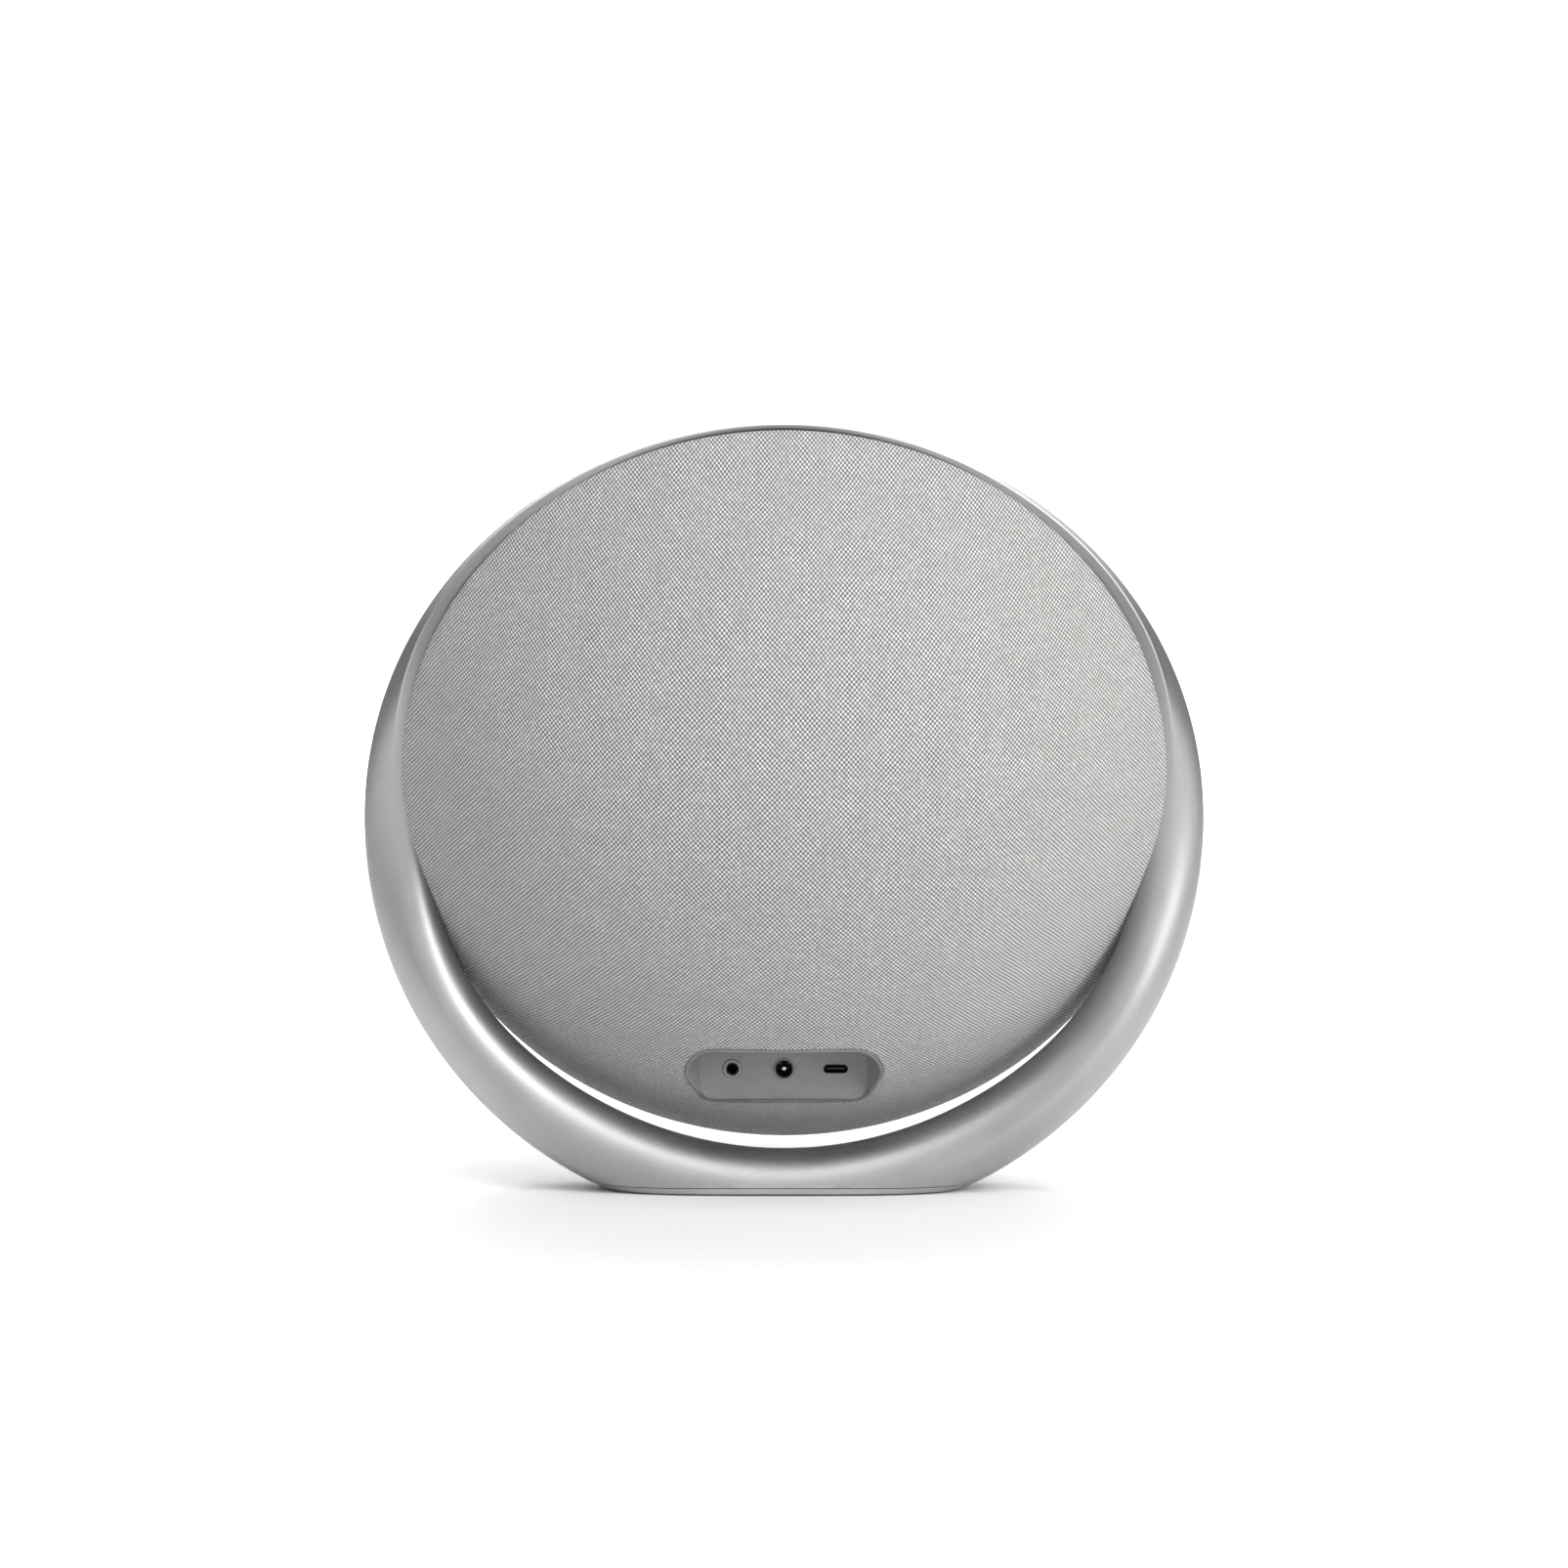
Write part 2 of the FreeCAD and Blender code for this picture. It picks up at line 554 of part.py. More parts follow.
dust_cap = dust_cap.common(rod(17.5, P - 14.0, P + 20))
cone_and_cap = cone.cut(Part.makeSphere(24, V(0, 0, P - 27.2)))
cone = max(cone_and_cap.Solids, key=lambda solid: solid.Volume)


def half_roll(inner, outer, base, thick):
    """Half-round ring between two radii, standing on a height."""
    mid = (inner + outer) / 2
    r = (outer - inner) / 2
    roll = Part.makeTorus(mid, r, V(0, 0, base)).cut(Part.makeTorus(mid, r - thick, V(0, 0, base)))
    return roll.common(rod(outer + 5, base, base + r + 1))


surround = half_roll(43.9, WOOFER_R - 5.8, P + 3, 0.8)
spider_rings = [(14.3, 0.0), (18.0, 0.0), (20.5, 1.4), (24.5, -1.4), (28.5, 1.4), (32.5, -1.4), (35.0, 0.0)]
spider_top = [(r, SPIDER_Z + z + 0.4) for r, z in spider_rings]
spider_low = [(r, SPIDER_Z + z) for r, z in reversed(spider_rings)]
spider = turned(spider_top + spider_low)

save("baffle", lean(baffle))
save("baffle_screws", lean(joined(baffle_screws)))
save("woofer_basket", lean(basket))
save("woofer_screws", lean(joined(woofer_screws)))
save("woofer_magnet", lean(magnet))
save("woofer_top_plate", lean(top_plate))
save("woofer_pole", lean(pole))
save("woofer_cone", lean(cone))
save("woofer_coil", lean(coil))
save("woofer_dust_cap", lean(dust_cap))
save("woofer_surround", lean(surround))
save("woofer_spider", lean(spider))

# ---------------------------------------------------------------- tweeters
# Two soft-dome tweeters, each a face plate with a small magnet behind it.

tweeter_magnets = []
for side, (x, y) in zip(("left", "right"), tweeter_spots):
    plate = tube(15, 10, P, P + 2, x, y)
    cup = tube(11.3, 10, P - 6, P, x, y)
    housing = joined([plate, cup])
    tweeter_magnets.append(rod(11.3, P - 16, P - 6, x, y))
    dome = Part.makeSphere(11.5, V(x, y, P - 6.5)).cut(Part.makeSphere(11.1, V(x, y, P - 6.5)))
    dome = dome.common(rod(9.6, P - 1.2, P + 10, x, y))
    former = tube(9.6, 9.1, P - 4.4, P - 0.4, x, y)
    dome = joined([dome, former])
    save("tweeter_housing_" + side, lean(housing))
    save("tweeter_dome_" + side, lean(dome))
save("tweeter_magnets", lean(Part.makeCompound(tweeter_magnets)))

# ---------------------------------------------------------------- radiator
# Passive radiator behind the rear fabric: a weighted disc in a rubber roll.

R_TOP = radiator_seat
radiator_frame = tube(RADIATOR_R, RADIATOR_R - 8, R_TOP, R_TOP + 2.5)
radiator_frame = without(radiator_frame, radiator_screws)
radiator_cone = rod(RADIATOR_R - 17, R_TOP + 0.6, R_TOP + 2.2)
radiator_cone = radiator_cone.fuse(rod(12, R_TOP + 2.2, R_TOP + 5.0)).removeSplitter()
radiator_roll = half_roll(RADIATOR_R - 16.6, RADIATOR_R - 8.0, R_TOP + 1.4, 0.8)
save("radiator_frame", lean(radiator_frame))
save("radiator_screws", lean(joined(radiator_screws)))
save("radiator_cone", lean(radiator_cone))
save("radiator_surround", lean(radiator_roll))

# ---------------------------------------------------------------- electronics
# Main board on four posts at one side, battery pack above the woofer.

main_board = block(*board_x, *board_y, BOARD_Z, BOARD_Z + 1.6)
main_board = without(main_board, board_screws)
board_mid = (board_x[0] + board_x[1]) / 2
top = BOARD_Z + 1.6
chips = [
    block(board_mid - 6, board_mid + 6, 8, 20, top, top + 1.2),
    block(board_mid - 5, board_mid + 5, -12, -2, top, top + 1.0),
    block(board_mid - 18, board_mid - 10, -4, 12, top, top + 2.2),
]
capacitors = [rod(4.0, top, top + 11, board_mid + 12, y) for y in (-22, -12, -2)]
inductors = [block(board_mid - 8, board_mid + 1, y, y + 9, top, top + 6) for y in (-34, -24)]
fins = [block(board_mid - 6, board_mid + 6, y, y + 1.2, top + 2.7, top + 9) for y in (8, 12, 16, 18.8)]
heat_sink = joined([block(board_mid - 6, board_mid + 6, 8, 20, top + 1.2, top + 2.7)] + fins)
save("main_board", lean(main_board))
save("board_screws", lean(joined(board_screws)))
save("amplifier_chips", lean(joined(chips)))
save("capacitors", lean(joined(capacitors)))
save("inductors", lean(joined(inductors)))
save("heat_sink", lean(heat_sink))

cell_low = HOLDER_LOW + 1.8
cell_z = (cell_low + CELL_R, cell_low + CELL_R + 18.8)
cells = []
for y in cells_y:
    for z in cell_z:
        cell = Part.makeCylinder(CELL_R, CELL_LENGTH, V(-CELL_LENGTH / 2, y, z), V(1, 0, 0))
        cells.append(cell)
holder_top = cell_z[1] + CELL_R - 6
holder = block(-holder_x, holder_x, *holder_y, HOLDER_LOW, holder_top)
holder = holder.cut(block(-CELL_LENGTH / 2 - 1, CELL_LENGTH / 2 + 1, holder_y[0] + 1.8, holder_y[1] - 1.8,
                          cell_low, holder_top + 1))
ears = [rod(4.2, HOLDER_LOW, HOLDER_LOW + 3, x, y) for x, y in holder_ears]
holder = joined([holder] + ears)
holder = without(holder, holder_screws)
strap_top = cell_z[1] + CELL_R
strap = block(-12, 12, holder_y[0] - 0.8, holder_y[1] + 0.8, HOLDER_LOW + 8, strap_top + 0.8)
strap = strap.cut(block(-13, 13, *holder_y, HOLDER_LOW, holder_top))
strap = strap.cut(block(-13, 13, cells_y[0] - CELL_R, cells_y[1] + CELL_R, HOLDER_LOW, strap_top))
save("battery_cells", lean(Part.makeCompound(cells)))
save("battery_holder", lean(holder))
save("battery_strap", lean(strap))
save("holder_screws", lean(joined(holder_screws)))

# ---------------------------------------------------------------- buttons
# Five sprung caps in a strip over the ring's front edge, above their switches.

F = FRONT_BALL
cap_foot = F - SHELL_IN - 1.2
panel = strip(-SHELL_IN, 0.3, STRIP_HALF)
caps = {}
for index, name in enumerate(BUTTONS):
    panel = panel.cut(at_button(rod(BUTTON_R + BUTTON_GAP, F - 8, F + 4), index - 2))
    shape = rod(BUTTON_R, cap_foot, F + BUTTON_PROUD)
    shape = shape.fuse(rod(BUTTON_R + 0.8, cap_foot, F - SHELL_IN - 0.4)).removeSplitter()
    shape = shape.cut(Part.makeSphere(40, V(0, 0, F + BUTTON_PROUD + 39.7)))
    caps[name] = at_button(shape, index - 2)
switch_top = cap_foot - BUTTON_TRAVEL - 0.1
board_top = switch_top - 2.0
POSTS = (-1.5, -0.5, 1.5)
button_posts = [at_button(rod(1.6, board_top, F - SHELL_IN), steps) for steps in POSTS]
button_screws = []
for steps in POSTS:
    screw = rod(0.8, board_top - 0.8, F - SHELL_IN - 1).fuse(rod(1.8, board_top - 2, board_top - 0.8))
    button_screws.append(at_button(screw, steps))
lens_hole = at_button(rod(1.0, F - 8, F + 4), 0.5)
status_lens = at_button(rod(1.0, board_top, F + 0.4), 0.5)
panel = without(joined([panel] + button_posts), button_screws + [lens_hole])
button_board = strip(board_top - 0.8 - F, board_top - F, 5.5)
switches = []
for index in range(len(BUTTONS)):
    body = Part.makeBox(6, 6, 1.7, V(-3, -3, board_top))
    switches.append(at_button(body.fuse(rod(1.6, board_top + 1.7, switch_top)), index - 2))
button_board = without(button_board, button_screws)
switches = [switch.cut(button_board) for switch in switches]
save("button_strip", lean(panel.cut(button_board)))
for name in BUTTONS:
    save("button_" + name, lean(caps[name]))
save("button_board", lean(button_board))
save("button_switches", lean(Part.makeCompound(switches)))
save("button_screws", lean(joined(button_screws)))
save("status_lens", lean(status_lens.cut(button_board)))
print("saved", len(os.listdir("parts")), "pieces")
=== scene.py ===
import json
import math
import bmesh
import bpy
from mathutils import Matrix, Vector


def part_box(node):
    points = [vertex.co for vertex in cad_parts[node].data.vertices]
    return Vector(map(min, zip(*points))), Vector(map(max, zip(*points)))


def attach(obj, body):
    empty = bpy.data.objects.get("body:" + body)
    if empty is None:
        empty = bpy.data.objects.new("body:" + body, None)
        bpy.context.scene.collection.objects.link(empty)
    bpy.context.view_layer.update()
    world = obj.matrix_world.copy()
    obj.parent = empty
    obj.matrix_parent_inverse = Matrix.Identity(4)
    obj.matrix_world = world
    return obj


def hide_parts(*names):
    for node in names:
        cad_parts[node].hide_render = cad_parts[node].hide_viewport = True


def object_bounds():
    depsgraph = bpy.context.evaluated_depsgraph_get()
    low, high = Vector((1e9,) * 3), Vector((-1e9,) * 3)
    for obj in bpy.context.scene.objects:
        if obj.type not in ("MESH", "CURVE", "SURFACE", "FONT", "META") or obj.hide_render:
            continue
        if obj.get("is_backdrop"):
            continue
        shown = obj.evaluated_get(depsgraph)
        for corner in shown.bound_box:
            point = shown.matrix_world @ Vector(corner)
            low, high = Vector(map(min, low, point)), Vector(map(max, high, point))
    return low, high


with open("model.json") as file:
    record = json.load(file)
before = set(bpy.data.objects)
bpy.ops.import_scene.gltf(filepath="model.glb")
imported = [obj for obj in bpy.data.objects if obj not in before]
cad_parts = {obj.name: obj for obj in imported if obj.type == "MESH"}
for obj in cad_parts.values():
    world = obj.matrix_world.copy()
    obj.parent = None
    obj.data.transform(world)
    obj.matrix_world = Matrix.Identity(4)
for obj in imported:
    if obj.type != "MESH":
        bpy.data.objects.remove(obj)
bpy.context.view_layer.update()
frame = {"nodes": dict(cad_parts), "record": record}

# ---------------------------------------------------------------- Ring frame
# One closed ring of bead-blasted, anodised aluminium. It is a thin ridged rim
# where it holds the body at the top, and swells into a round tube that the
# speaker stands on. Cast in one piece, then machined and anodised.

MM = 0.001
ring_low, ring_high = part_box("ring_frame")
HALF_WIDTH = (ring_high[0] - ring_low[0]) / 2 / MM
RING_TOP = ring_high[2] / MM
RING_MID = RING_TOP * 0.479
UPPER_HEIGHT = RING_TOP - RING_MID
LOWER_HEIGHT = RING_MID + 14.2
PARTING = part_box("foot_plate")[1][2] / MM

# Sizes round half the ring, every 30 degrees from the top to the foot.
DEPTH_IN = (9.0, 10.0, 14.0, 21.0, 23.5, 27.8, 29.0)
CREST_IN = (0.4, 1.2, 3.3, 12.0, 11.8, 13.0, 13.8)
FRONT_IN = (5.0, 5.0, 7.0, 10.0, 11.5, 13.0, 13.8)
CREST_Y = (48.3, 43.0, 25.0, 1.5, 5.0, 7.0, 8.0)
FRONT_Y = (28.0, 22.0, 4.0, -14.0, -26.0, -34.0, -36.0)
INNER_SHARE = (0.8, 0.75, 0.6, 0.68, 0.66, 0.7, 0.7)
ROUNDNESS = (0.0, 0.0, 0.05, 0.9, 1.0, 1.0, 1.0)
gasket_low, gasket_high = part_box("seam_gasket")
SEAM_Y = (gasket_low[1] + gasket_high[1]) / 2 / MM
SEAM_Z = (gasket_low[2] + gasket_high[2]) / 2 / MM


def ring_size(values, angle):
    """Smooth size at an angle from the top of the ring."""
    place = min(abs(angle), 360 - abs(angle)) / 30
    last = len(values) - 1
    low = min(int(place), last - 1)
    t = place - low
    a, b = values[low], values[low + 1]
    before = values[low - 1] if low > 0 else b
    after = values[low + 2] if low + 2 <= last else a
    value = a + (b - a) * (3 * t * t - 2 * t ** 3)
    value += (b - before) / 2 * (t - 2 * t * t + t ** 3)
    return value + (after - a) / 2 * (t ** 3 - t * t)


def ring_outline(angle):
    """One section of the ring as points, with its four edges just broken."""
    turn = math.radians(angle)
    reach = UPPER_HEIGHT if math.cos(turn) > 0 else LOWER_HEIGHT
    out = Vector((reach * math.sin(turn), 0, HALF_WIDTH * math.cos(turn))).normalized()
    edge = Vector((HALF_WIDTH * math.sin(turn), 0, RING_MID + reach * math.cos(turn)))
    crest = ring_size(CREST_Y, angle)
    front = ring_size(FRONT_Y, angle)
    inner = front + (crest - front) * ring_size(INNER_SHARE, angle)
    corners = [
        (ring_size(CREST_IN, angle), crest), (0.0, (crest + front) / 2),
        (ring_size(FRONT_IN, angle), front), (ring_size(DEPTH_IN, angle), inner),
    ]
    full = max(0.0, min(1.0, ring_size(ROUNDNESS, angle)))
    section = []
    for i in range(4):
        start, end = corners[i], corners[(i + 1) % 4]
        square = (end[0], start[1]) if i % 2 == 0 else (start[0], end[1])
        pull = []
        for near, far in ((start, end), (end, start)):
            flat = [near[k] + (far[k] - near[k]) / 3 for k in (0, 1)]
            bent = [near[k] + (square[k] - near[k]) * 0.5523 for k in (0, 1)]
            pull.append([flat[k] + (bent[k] - flat[k]) * full for k in (0, 1)])
        length = math.dist(start, end)
        broken = min(0.35 / length, 0.1)
        for step in range(15):
            t = broken + (1 - 2 * broken) * step / 14
            s = 1 - t
            section.append([
                s ** 3 * start[k] + 3 * s * s * t * pull[0][k] + 3 * s * t * t * pull[1][k] + t ** 3 * end[k]
                for k in (0, 1)])
    return [(edge - out * n + Vector((0, SEAM_Y + y, 0))) * MM for n, y in section]


def loops_to_mesh(loops, close_loops=True, close_ends=False, wrap=False):
    """A bmesh skinned through loops of points with the same count."""
    made = bmesh.new()
    rows = [[made.verts.new(point) for point in loop] for loop in loops]
    pairs = list(zip(rows, rows[1:]))
    if wrap:
        pairs.append((rows[-1], rows[0]))
    for one, two in pairs:
        count = len(one)
        for i in range(count if close_loops else count - 1):
            j = (i + 1) % count
            made.faces.new((one[i], one[j], two[j], two[i]))
    if close_ends:
        made.faces.new(rows[0][::-1])
        made.faces.new(rows[-1])
    return made


def slice_off(made, height, keep_above):
    """Cut a closed mesh level at a height, drop one side and close the cut."""
    cut = bmesh.ops.bisect_plane(
        made, geom=made.verts[:] + made.edges[:] + made.faces[:], plane_co=(0, 0, height),
        plane_no=(0, 0, 1), clear_inner=keep_above, clear_outer=not keep_above)
    rim = [item for item in cut["geom_cut"] if isinstance(item, bmesh.types.BMEdge)]
    bmesh.ops.edgeloop_fill(made, edges=rim)


def finish_piece(name, made, material, smooth_angle=35.0, body="speaker"):
    """Turn a bmesh into a named piece with its material, riding on a body."""
    bmesh.ops.recalc_face_normals(made, faces=made.faces[:])
    for face in made.faces:
        face.smooth = True
    for edge in made.edges:
        if len(edge.link_faces) == 2 and edge.calc_face_angle(0) > math.radians(smooth_angle):
            edge.smooth = False
    mesh = bpy.data.meshes.new(name)
    made.to_mesh(mesh)
    made.free()
    piece = bpy.data.objects.new(name, mesh)
    bpy.context.scene.collection.objects.link(piece)
    mesh.materials.append(material)
    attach(piece, body)
    return piece


class Finish:
    """A material under construction: a shader with a few ways to shape it."""

    def __init__(self, name):
        self.material = bpy.data.materials.new(name)
        self.material.use_nodes = True
        self.tree = self.material.node_tree
        self.shader = self.tree.nodes["Principled BSDF"]
        self.place = self.node("ShaderNodeTexCoord").outputs["Object"]

    def node(self, kind, inputs=None, **settings):
        made = self.tree.nodes.new(kind)
        for key, value in settings.items():
            setattr(made, key, value)
        for key, value in (inputs or {}).items():
            if isinstance(value, bpy.types.NodeSocket):
                self.tree.links.new(value, made.inputs[key])
            else:
                made.inputs[key].default_value = value
        return made

    def maths(self, operation, *values):
        return self.node("ShaderNodeMath", dict(enumerate(values)), operation=operation).outputs[0]

    def noise(self, scale, detail=3.0, rough=0.5, place=None):
        inputs = {"Vector": place or self.place, "Scale": scale, "Detail": detail, "Roughness": rough}
        return self.node("ShaderNodeTexNoise", inputs).outputs["Fac"]

    def ramp(self, value, *stops):
        made = self.node("ShaderNodeValToRGB", {"Fac": value})
        points = made.color_ramp.elements
        while len(points) < len(stops):
            points.new(0.5)
        for point, (at, colour) in zip(points, stops):
            point.position = at
            point.color = (*colour, 1) if len(colour) == 3 else colour
        return made.outputs["Color"]

    def grey(self, value, low, high, start=0.3, end=0.7):
        span = {"Value": value, "From Min": start, "From Max": end, "To Min": low, "To Max": high}
        return self.node("ShaderNodeMapRange", span).outputs["Result"]

    def mix(self, share, one, two, kind="MIX"):
        made = self.node("ShaderNodeMix", data_type="RGBA", blend_type=kind)
        for key, value in ((0, share), (6, one), (7, two)):
            if isinstance(value, bpy.types.NodeSocket):
                self.tree.links.new(value, made.inputs[key])
            elif key == 0:
                made.inputs[key].default_value = value
            else:
                made.inputs[key].default_value = (*value, 1)
        return made.outputs[2]

    def bump(self, height, depth, strength=1.0, under=None):
        inputs = {"Height": height, "Distance": depth, "Strength": strength}
        if under is not None:
            inputs["Normal"] = under
        return self.node("ShaderNodeBump", inputs).outputs["Normal"]

    def set(self, **values):
        for key, value in values.items():
            socket = self.shader.inputs[key.replace("_", " ")]
            if isinstance(value, bpy.types.NodeSocket):
                self.tree.links.new(value, socket)
            else:
                socket.default_value = value
        return self.material


anodised = Finish("ring anodised")
blast = anodised.noise(2600, 2, 0.6)
cloud = anodised.noise(14, 3)
handling = anodised.noise(55, 5, 0.6)
tone = anodised.ramp(cloud, (0.3, (0.35, 0.35, 0.353)), (0.7, (0.40, 0.40, 0.402)))
tone = anodised.mix(anodised.grey(blast, 0.0, 0.35, 0.35, 0.75), tone, (0.55, 0.55, 0.555))
# Painted highlight: the colour turns pale grey along the sharp convex edges and ridges, a light line painted along
# the rim's edges.
edge_highlight = anodised.grey(anodised.node("ShaderNodeNewGeometry").outputs["Pointiness"], 0, 0.5, 0.52, 0.6)
tone = anodised.mix(edge_highlight, tone, (0.72, 0.72, 0.725))
ring_metal = anodised.set(
    Base_Color=tone, Metallic=1.0, Specular_IOR_Level=0.5,
    Roughness=anodised.grey(handling, 0.40, 0.48),
    Normal=anodised.bump(blast, 0.00005, 0.5))

SECTIONS = 480
outlines = [ring_outline(360 * i / SECTIONS) for i in range(SECTIONS // 2 + 1)]
mirrored = [[Vector((-p.x, p.y, p.z)) for p in loop] for loop in outlines[-2:0:-1]]
ring_loops = outlines + mirrored
tube = loops_to_mesh(ring_loops, wrap=True)
slice_off(tube, (PARTING + 0.15) * MM, True)
ring = finish_piece("ring_frame_metal", tube, ring_metal, 28)
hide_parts("ring_frame")

# ---------------------------------------------------------------- Foot plate
# A plate of glass-filled plastic, painted to match the ring, closes the bottom
# of the tube. Three screws hold it, under the rubber sole.

foot_paint = Finish("foot plate paint")
grain = foot_paint.noise(1900, 3, 0.6)
patches = foot_paint.noise(40, 3)
tone = foot_paint.ramp(patches, (0.3, (0.30, 0.30, 0.305)), (0.7, (0.36, 0.36, 0.362)))
foot_material = foot_paint.set(
    Base_Color=foot_paint.mix(foot_paint.grey(grain, 0, 0.3), tone, (0.42, 0.42, 0.42)),
    Metallic=0.4, Roughness=foot_paint.grey(grain, 0.42, 0.52),
    Normal=foot_paint.bump(grain, 0.00006, 0.5))
foot_low, foot_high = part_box("foot_plate")
plate = loops_to_mesh(ring_loops, wrap=True)
slice_off(plate, foot_low[2], True)
slice_off(plate, (PARTING - 0.15) * MM, False)
for vert in plate.verts:
    vert.co.x *= 0.994
    vert.co.y *= 0.985
sharp = [e for e in plate.edges if len(e.link_faces) == 2 and e.calc_face_angle(0) > 0.5]
bmesh.ops.bevel(plate, geom=sharp, offset=0.0003, segments=2, affect="EDGES", clamp_overlap=True)
foot = finish_piece("foot_plate_cover", plate, foot_material)
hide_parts("foot_plate")

# ---------------------------------------------------------------- Rubber sole
# An oval of moulded rubber bonded into the foot plate. It stands a little
# proud and its fine ribs keep the speaker from walking on a shelf.

rubber = Finish("sole rubber")
speckle = rubber.noise(1400, 4, 0.7)
dust = rubber.noise(60, 4)
ribs = rubber.node("ShaderNodeTexWave", {"Vector": rubber.place, "Scale": 110.0}, bands_direction="X")
tone = rubber.ramp(speckle, (0.3, (0.018, 0.018, 0.019)), (0.75, (0.045, 0.045, 0.046)))
sole_material = rubber.set(
    Base_Color=rubber.mix(rubber.grey(dust, 0, 0.4, 0.45, 0.75), tone, (0.09, 0.088, 0.085)),
    Roughness=rubber.grey(speckle, 0.7, 0.9),
    Normal=rubber.bump(ribs.outputs["Fac"], 0.00015, 0.6, rubber.bump(speckle, 0.00006, 0.5)))
sole_low, sole_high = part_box("rubber_sole")
sole_mid = (sole_low + sole_high) / 2
sole_half = (sole_high - sole_low) / 2


def oval(inset, z):
    points = []
    for i in range(96):
        turn = 2 * math.pi * i / 96
        x = (sole_half[0] - inset) * math.cos(turn)
        points.append(Vector((x, sole_mid[1] + (sole_half[1] - inset) * math.sin(turn), z)))
    return points


bottom, rise = sole_low[2], sole_high[2] - sole_low[2]
pad = loops_to_mesh([oval(0.004, bottom), oval(0.0005, bottom), oval(0.00015, bottom + 0.0001),
                     oval(0, bottom + 0.0004), oval(0, bottom + rise)], close_ends=True)
sole = finish_piece("sole_pad", pad, sole_material)
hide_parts("rubber_sole")

# ---------------------------------------------------------------- Rear cover
# Heathered grey plain-weave polyester, stretched over the moulded rear dome
# and tucked in round its rim and round the port tray.

LEAN = math.radians(20.5)
to_world = Matrix.Translation((0, SEAM_Y * MM, SEAM_Z * MM)) @ Matrix.Rotation(math.pi / 2 - LEAN, 4, "X")
SEAM_R = (gasket_high[0] - gasket_low[0]) / 2 / MM
REAR_RISE, FRONT_RISE = 70.0, 78.0
REAR_BALL = (SEAM_R ** 2 + REAR_RISE ** 2) / (2 * REAR_RISE)
FRONT_BALL = (SEAM_R ** 2 + FRONT_RISE ** 2) / (2 * FRONT_RISE)
CLOTH = 0.8


def knit_material(name, light, dark):
    """Plain weave that follows the cloth's own flat coordinates, stored in mm."""
    cloth = Finish(name)
    flat = cloth.node("ShaderNodeAttribute", attribute_name="cloth_mm").outputs["Vector"]
    drift = cloth.node("ShaderNodeTexNoise", {"Vector": flat, "Scale": 0.06, "Detail": 2.0})
    wander = cloth.node("ShaderNodeVectorMath", {0: drift.outputs["Color"], 1: (0.5, 0.5, 0.5)},
                        operation="SUBTRACT").outputs[0]
    wander = cloth.node("ShaderNodeVectorMath", {0: wander, 1: (1.3, 1.3, 0)}, operation="MULTIPLY")
    flat_moved = cloth.node("ShaderNodeVectorMath", {0: flat, 1: wander.outputs[0]}, operation="ADD")
    parts = cloth.node("ShaderNodeSeparateXYZ", {"Vector": flat_moved.outputs[0]})
    # Threads run 48 degrees each side of level, 1.22 mm apart.
    across = cloth.maths("MULTIPLY", parts.outputs["X"], 0.306)
    upward = cloth.maths("MULTIPLY", parts.outputs["Y"], 0.274)
    one = cloth.maths("ADD", across, upward)
    two = cloth.maths("SUBTRACT", across, upward)
    one_turn = cloth.maths("MULTIPLY", one, 2 * math.pi)
    two_turn = cloth.maths("MULTIPLY", two, 2 * math.pi)
    ridge_one = cloth.maths("ABSOLUTE", cloth.maths("COSINE", one_turn))
    ridge_two = cloth.maths("ABSOLUTE", cloth.maths("COSINE", two_turn))
    over = cloth.maths("MULTIPLY", cloth.maths("COSINE", one_turn), cloth.maths("COSINE", two_turn))
    side = cloth.grey(over, 0, 1, -0.2, 0.2)
    round_one = cloth.maths("POWER", ridge_one, 0.55)
    round_two = cloth.maths("POWER", ridge_two, 0.55)
    end_one = cloth.maths("POWER", ridge_one, 1.6)
    end_two = cloth.maths("POWER", ridge_two, 1.6)
    top_one = cloth.maths("MULTIPLY", round_one, end_two)
    top_two = cloth.maths("MULTIPLY", round_two, end_one)
    height = cloth.node("ShaderNodeMix", {0: side, 2: top_one, 3: top_two}, data_type="FLOAT").outputs[0]
    fibre = cloth.noise(9.0, 4, 0.75, flat)
    heather = cloth.noise(0.55, 4, 0.7, flat)
    broad = cloth.noise(0.05, 2, 0.5, flat)
    patch = cloth.noise(0.16, 3, 0.6, flat)
    speck = cloth.noise(1.6, 2, 0.9, flat)
    yarn = cloth.mix(cloth.grey(heather, 0, 1, 0.32, 0.68), dark, light)
    yarn = cloth.mix(cloth.grey(broad, 0, 0.18, 0.35, 0.65), yarn, dark)
    yarn = cloth.mix(cloth.grey(patch, 0, 0.35, 0.35, 0.65), yarn, dark)
    yarn = cloth.mix(cloth.grey(fibre, 0, 0.5, 0.45, 0.8), yarn, tuple(min(1, c * 1.5) for c in light))
    yarn = cloth.mix(cloth.grey(speck, 0, 0.35, 0.66, 0.78), yarn, (0.50, 0.47, 0.42))
    # Painted shade: the weave's low points between threads go near black. This stands for the shade between the
    # threads and for the dark shell seen through them.
    gap_shade = tuple(c * 0.16 for c in dark)
    colour = cloth.mix(cloth.grey(height, 1, 0, 0.04, 0.62), yarn, gap_shade)
    relief = cloth.maths("ADD", height, cloth.maths("MULTIPLY", fibre, 0.35))
    return cloth.set(
        Base_Color=colour, Roughness=cloth.grey(fibre, 0.82, 0.95), Specular_IOR_Level=0.2,
        Sheen_Weight=0.45, Sheen_Roughness=0.35, Normal=cloth.bump(relief, 0.00035, 0.8))


grey_knit = knit_material("grey knit", (0.80, 0.80, 0.794), (0.44, 0.44, 0.436))


